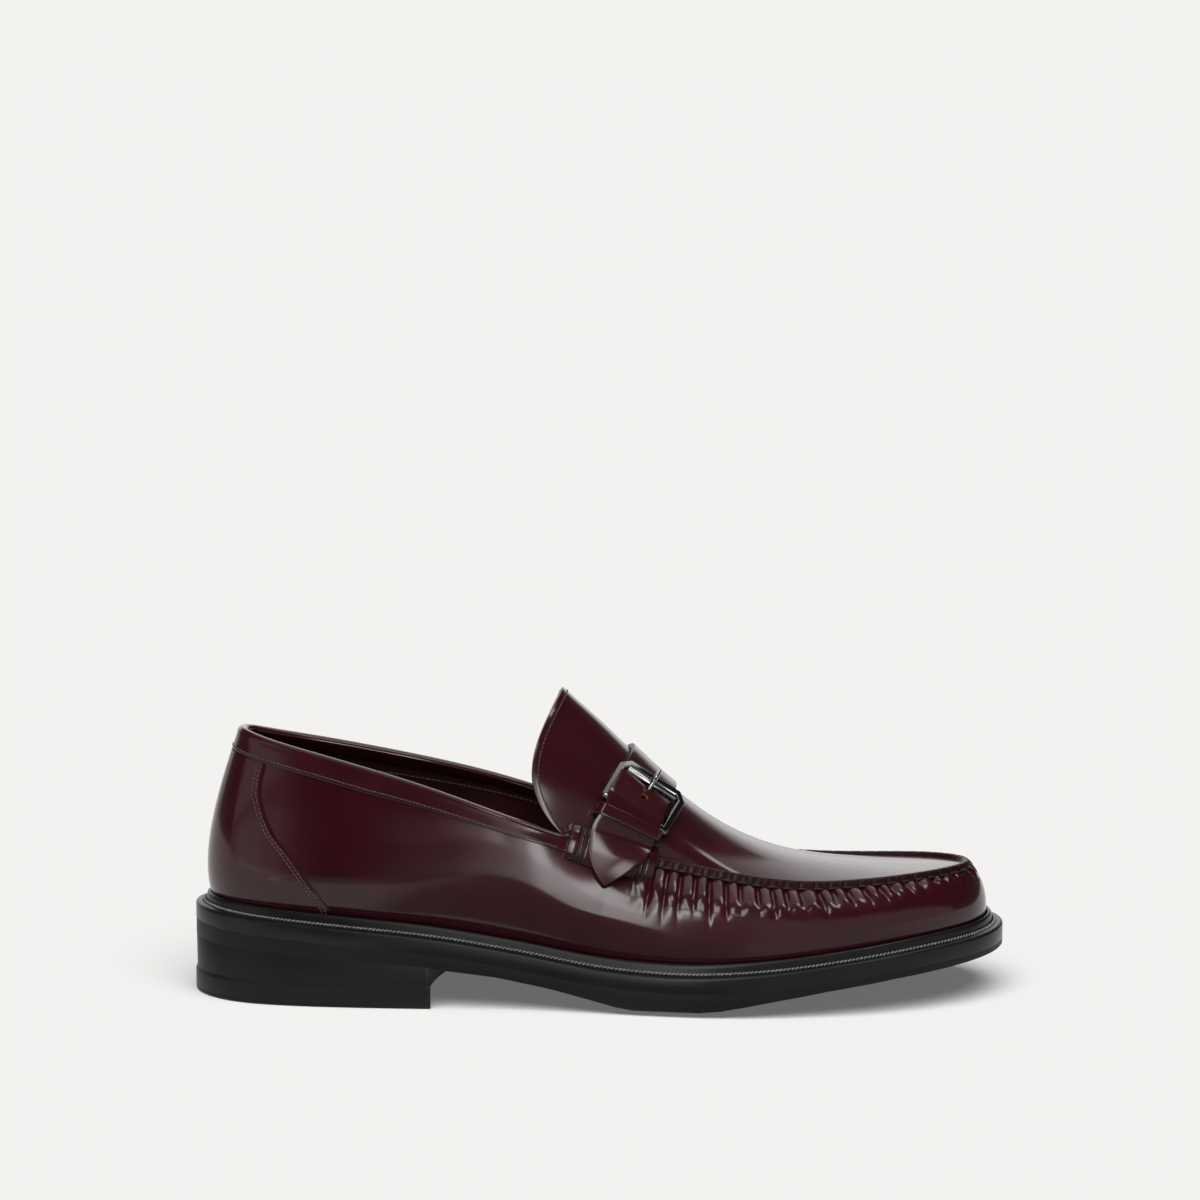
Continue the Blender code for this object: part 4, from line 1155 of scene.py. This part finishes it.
def makeFrame(look):
    low, high, bar = -look["foot"] / 2 - 0.1 * mm, look["foot"] / 2 - 0.1 * mm, look["bar"]
    section = ((0, low), (0, high), (bar * 0.7, look["crown"] / 2), (bar, high), (bar, low))
    rings = [frameRing(look, inset, height) for inset, height in section]
    piece = mend(surface("buckleFrame", rings, darkMetal, ringColumns=True, ringRows=True))
    roundEdges(piece, 0.2 * mm, 2, 22)
    piece.data.transform(frameLevel)
    place(piece, "gunmetal", "buckle_frame", sharp=35)


def makeRoller(look):
    clearPick()
    bpy.ops.mesh.primitive_cylinder_add(vertices=40, radius=look["roller"] / 2,
                                        depth=look["width"] - 2 * look["bar"] - 1.2 * mm,
                                        rotation=(0, math.radians(90), 0))
    piece = named("buckleRoller", gunmetal)
    bpy.ops.object.transform_apply(rotation=True)
    editAll(piece, "DESELECT")
    bpy.ops.mesh.select_mode(type="FACE")
    editDone()
    for face in piece.data.polygons:  # its two ends are drawn in
        face.select = abs(face.normal.x) > 0.9
    bpy.ops.object.mode_set(mode="EDIT")
    bpy.ops.mesh.inset(thickness=0.35 * mm)
    bpy.ops.mesh.extrude_region_move(TRANSFORM_OT_translate={"value": (0, 0, 0)})
    bpy.ops.transform.resize(value=(0.97, 1, 1), center_override=(0, 0, 0))
    editDone()
    roundEdges(piece, 0.18 * mm, 2)
    y = look["length"] / 2 - look["bar"] - look["roller"] / 2 + 0.35 * mm
    piece.data.transform(frameLevel @ Matrix.Translation((0, y, 0.55 * mm)))
    place(piece, "gunmetal", "buckle_roller", sharp=35)


prongLook = dict(radius=0.95 * mm, tips=(0.9, 0.62), path=(  # along the strap, height, in mm
    (-7.6, -1.0), (-4.5, -1.5), (0.0, -1.75), (1.6, -1.6), (2.5, -0.9), (3.4, 0.6), (4.4, 2.2), (5.6, 3.0),
    (7.0, 3.45), (9.2, 3.5), (11.3, 3.1)))


def makeProng(look):
    path = [(0.0, along * mm, height * mm) for along, height in look["path"]]
    piece = tube("buckleProng", path, look["radius"], gunmetal, 4, look["tips"])
    roundEdges(piece, 0.2 * mm, 2, 60)
    piece.data.transform(buckleLevel)
    place(piece, "gunmetal", "buckle_prong", sharp=40)


makeFrame(buckleLook)
makeRoller(buckleLook)
makeProng(prongLook)
print("buckle done")

# studio: a pale floor, even light from a soft sun, and cards that only the polish sees
studioLook = dict(paper=0.78, tint=(1, 0.991, 0.973), lift=0.135, air=(0.896, 0.888, 0.871), room=0.05,
                  lightDown=66, light=3.2, softness=60)
flat, upright = (0, 0, 0), (90, 0, 0)
# name, middle, size, turn, levels across and upward by metres from the low left corner, and whether it lets
# what is behind it show; a card is as bright as its level across times its level upward
cards = (
    # an overhead box, brighter to the back, with its cut-off edge over the toe
    ("overheadCard", (0.075, 0.375, 1.0), (1.05, 1.65), flat,
     ((0, 0), (0.2, 0.8), (0.55, 1.0), (0.75, 1.6), (0.95, 1.6), (1.05, 0)),
     ((0, 0.6), (0.15, 0.85), (0.45, 0.95), (0.85, 1.1), (1.65, 1.15)), True),
    ("backCard", (-0.575, 1.2, 0.5), (2.85, 1.0), upright, ((0, 0.6), (1.2, 1.0), (2.35, 1.0), (2.85, 0)),
     ((0, 0.45), (0.1, 0.9), (0.25, 1.3), (0.45, 1.6), (0.8, 1.75), (1.0, 1.8)), False),
    # key light: one part over the toe, one overhead in front, and a hot strip that comes down low
    ("keyCard", (0.42, -0.33, 1.0), (0.36, 0.24), flat, ((0, 0), (0.08, 1), (0.30, 1), (0.36, 0)),
     ((0, 0), (0.06, 8.5), (0.17, 7.5), (0.24, 0)), True),
    ("hotCard", (-0.02, -0.96, 1.0), (0.34, 0.66), flat, ((0, 0), (0.14, 1), (0.28, 1), (0.34, 0)),
     ((0, 0), (0.10, 7), (0.54, 7), (0.66, 0)), True),
    ("hotStrip", (-0.041, -0.198, 0.085), (0.112, 0.19), (90, 20, 0),
     ((0, 0), (0.045, 0.7), (0.075, 2.0), (0.094, 6.5), (0.102, 7.0), (0.112, 0)),
     ((0, 0.5), (0.03, 0.9), (0.08, 1), (0.12, 1.5), (0.17, 1.5), (0.19, 0.7)), True),
    # low cards: dark beside the middle of the heel, pale to both ends
    ("lowCard", (0, -0.20, 0.085), (3.0, 0.17), upright,
     ((0, 0.35), (0.6, 0.45), (1.0, 0.75), (1.17, 0.72), (1.25, 0.55), (1.31, 0.1), (1.335, 0),
      (1.365, 0.02), (1.39, 0.35), (1.415, 0.7), (1.47, 0.5), (1.5, 0.3), (1.55, 0.3), (1.57, 0.5),
      (1.59, 0.56), (3.0, 0.6)),
     ((0, 1), (0.12, 1), (0.17, 0.35)), False),
    ("heelSideCard", (-0.85, -0.205, 0.25), (1.30, 0.22), upright,
     ((0, 0.5), (1.0, 0.7), (1.22, 0.65), (1.30, 0)), ((0, 1), (0.1, 0.95), (0.22, 0)), True),
    ("quarterGlow", (-0.085, -0.197, 0.115), (0.11, 0.07), upright,
     ((0, 0), (0.05, 0.8), (0.08, 2.2), (0.11, 0)), ((0, 0), (0.025, 1), (0.045, 1), (0.07, 0)), True),
    ("lowGlow", (-0.32, -0.196, 0.014), (0.62, 0.028), upright,
     ((0, 0.3), (0.1, 1), (0.34, 0.8), (0.42, 0), (0.62, 0)), ((0, 0.7), (0.028, 0)), True),
    # on the floor, what the low parts of the shoe see beside it
    ("quarterFlag", (-0.14, -0.165, 0.0015), (0.14, 0.07), flat, ((0, 0.9), (0.03, 0.3), (0.14, 0.22)),
     ((0, 1), (0.045, 1), (0.07, 3)), False),
    ("floorFlag", (0.10, -0.125, 0.0015), (0.40, 0.15), flat,
     ((0, 0.85), (0.02, 0.3), (0.05, 0.22), (0.14, 0.3), (0.165, 0.6), (0.4, 0.8)),
     ((0, 1), (0.15, 1)), False),
)


def standCard(name, where, size, turn, across, upward, adds):
    clearPick()
    bpy.ops.mesh.primitive_plane_add(size=1.0, rotation=tuple(math.radians(a) for a in turn))
    made, nodes, links = newMaterial(name)
    card = named(name, made)
    card.scale = (*size, 1)
    bpy.ops.object.transform_apply(rotation=True, scale=True)
    card.data.transform(Matrix.Translation(where))
    nodes.clear()
    share, split = nodes.new("ShaderNodeUVMap"), nodes.new("ShaderNodeSeparateXYZ")
    times = nodes.new("ShaderNodeMath")
    times.operation = "MULTIPLY"
    links.new(share.outputs["UV"], split.inputs["Vector"])
    for k, stops in enumerate((across, upward)):
        shares = [(spot / size[k], (value,) * 3) for spot, value in stops]
        level = ramp(nodes, links, split.outputs[k], shares)
        level.color_ramp.interpolation = "EASE"
        links.new(level.outputs["Color"], times.inputs[k])
    glowing, out = nodes.new("ShaderNodeEmission"), nodes.new("ShaderNodeOutputMaterial")
    links.new(times.outputs["Value"], glowing.inputs["Strength"])
    last = glowing.outputs["Emission"]
    if adds:
        clear, both = nodes.new("ShaderNodeBsdfTransparent"), nodes.new("ShaderNodeAddShader")
        links.new(last, both.inputs[0])
        links.new(clear.outputs["BSDF"], both.inputs[1])
        last = both.outputs["Shader"]
    links.new(last, out.inputs["Surface"])
    card.visible_camera = card.visible_shadow = card.visible_diffuse = False


def makeStudio(look):
    clearPick()
    bpy.ops.mesh.primitive_circle_add(vertices=96, radius=20.0, fill_type="NGON")
    made, nodes, links = newMaterial("palePaper")
    setSockets(nodes["Principled BSDF"], {
        "Base Color": (*(look["paper"] * share for share in look["tint"]), 1), "Roughness": 1.0,
        "Specular IOR Level": 0.0, "Emission Color": (*look["tint"], 1), "Emission Strength": look["lift"]})
    named("studioFloor", made)
    light = bpy.data.lights.new("skyLight", "SUN")
    light.energy, light.angle = look["light"], math.radians(look["softness"])
    lamp = newObject("skyLight", light)
    lamp.rotation_euler = (math.radians(90 - look["lightDown"]), 0, 0)
    lamp.visible_glossy = False
    for card in cards:
        standCard(*card)
    # the air is pale to the camera and dim to everything else
    world = bpy.data.worlds.new("studioAir")
    bpy.context.scene.world = world
    world.use_nodes = True
    nodes, links = world.node_tree.nodes, world.node_tree.links
    nodes["Background"].inputs["Color"].default_value = (*look["air"], 1)
    seen, level = nodes.new("ShaderNodeLightPath"), nodes.new("ShaderNodeMapRange")
    level.inputs["To Min"].default_value = look["room"]
    links.new(seen.outputs["Is Camera Ray"], level.inputs["Value"])
    links.new(level.outputs["Result"], nodes["Background"].inputs["Strength"])


makeStudio(studioLook)
print("studio lit")

cameraLook = dict(where=(0.0, -1.4653, 0.370), down=8.69, lens=120.5)
cameraData = bpy.data.cameras.new("camera")
cameraData.lens, cameraData.sensor_width = cameraLook["lens"], 36.0
cameraData.clip_start, cameraData.clip_end = 0.05, 60.0
camera = newObject("camera", cameraData)
camera.location = cameraLook["where"]
camera.rotation_euler = (math.radians(90 - cameraLook["down"]), 0, 0)
bpy.context.scene.camera = camera
bpy.context.scene.view_settings.view_transform = "Standard"

triangles = sum(sum(len(p.vertices) - 2 for p in o.data.polygons) for o in bpy.context.scene.objects
                if o.type == "MESH" and not o.hide_render)
print("triangles:", triangles)
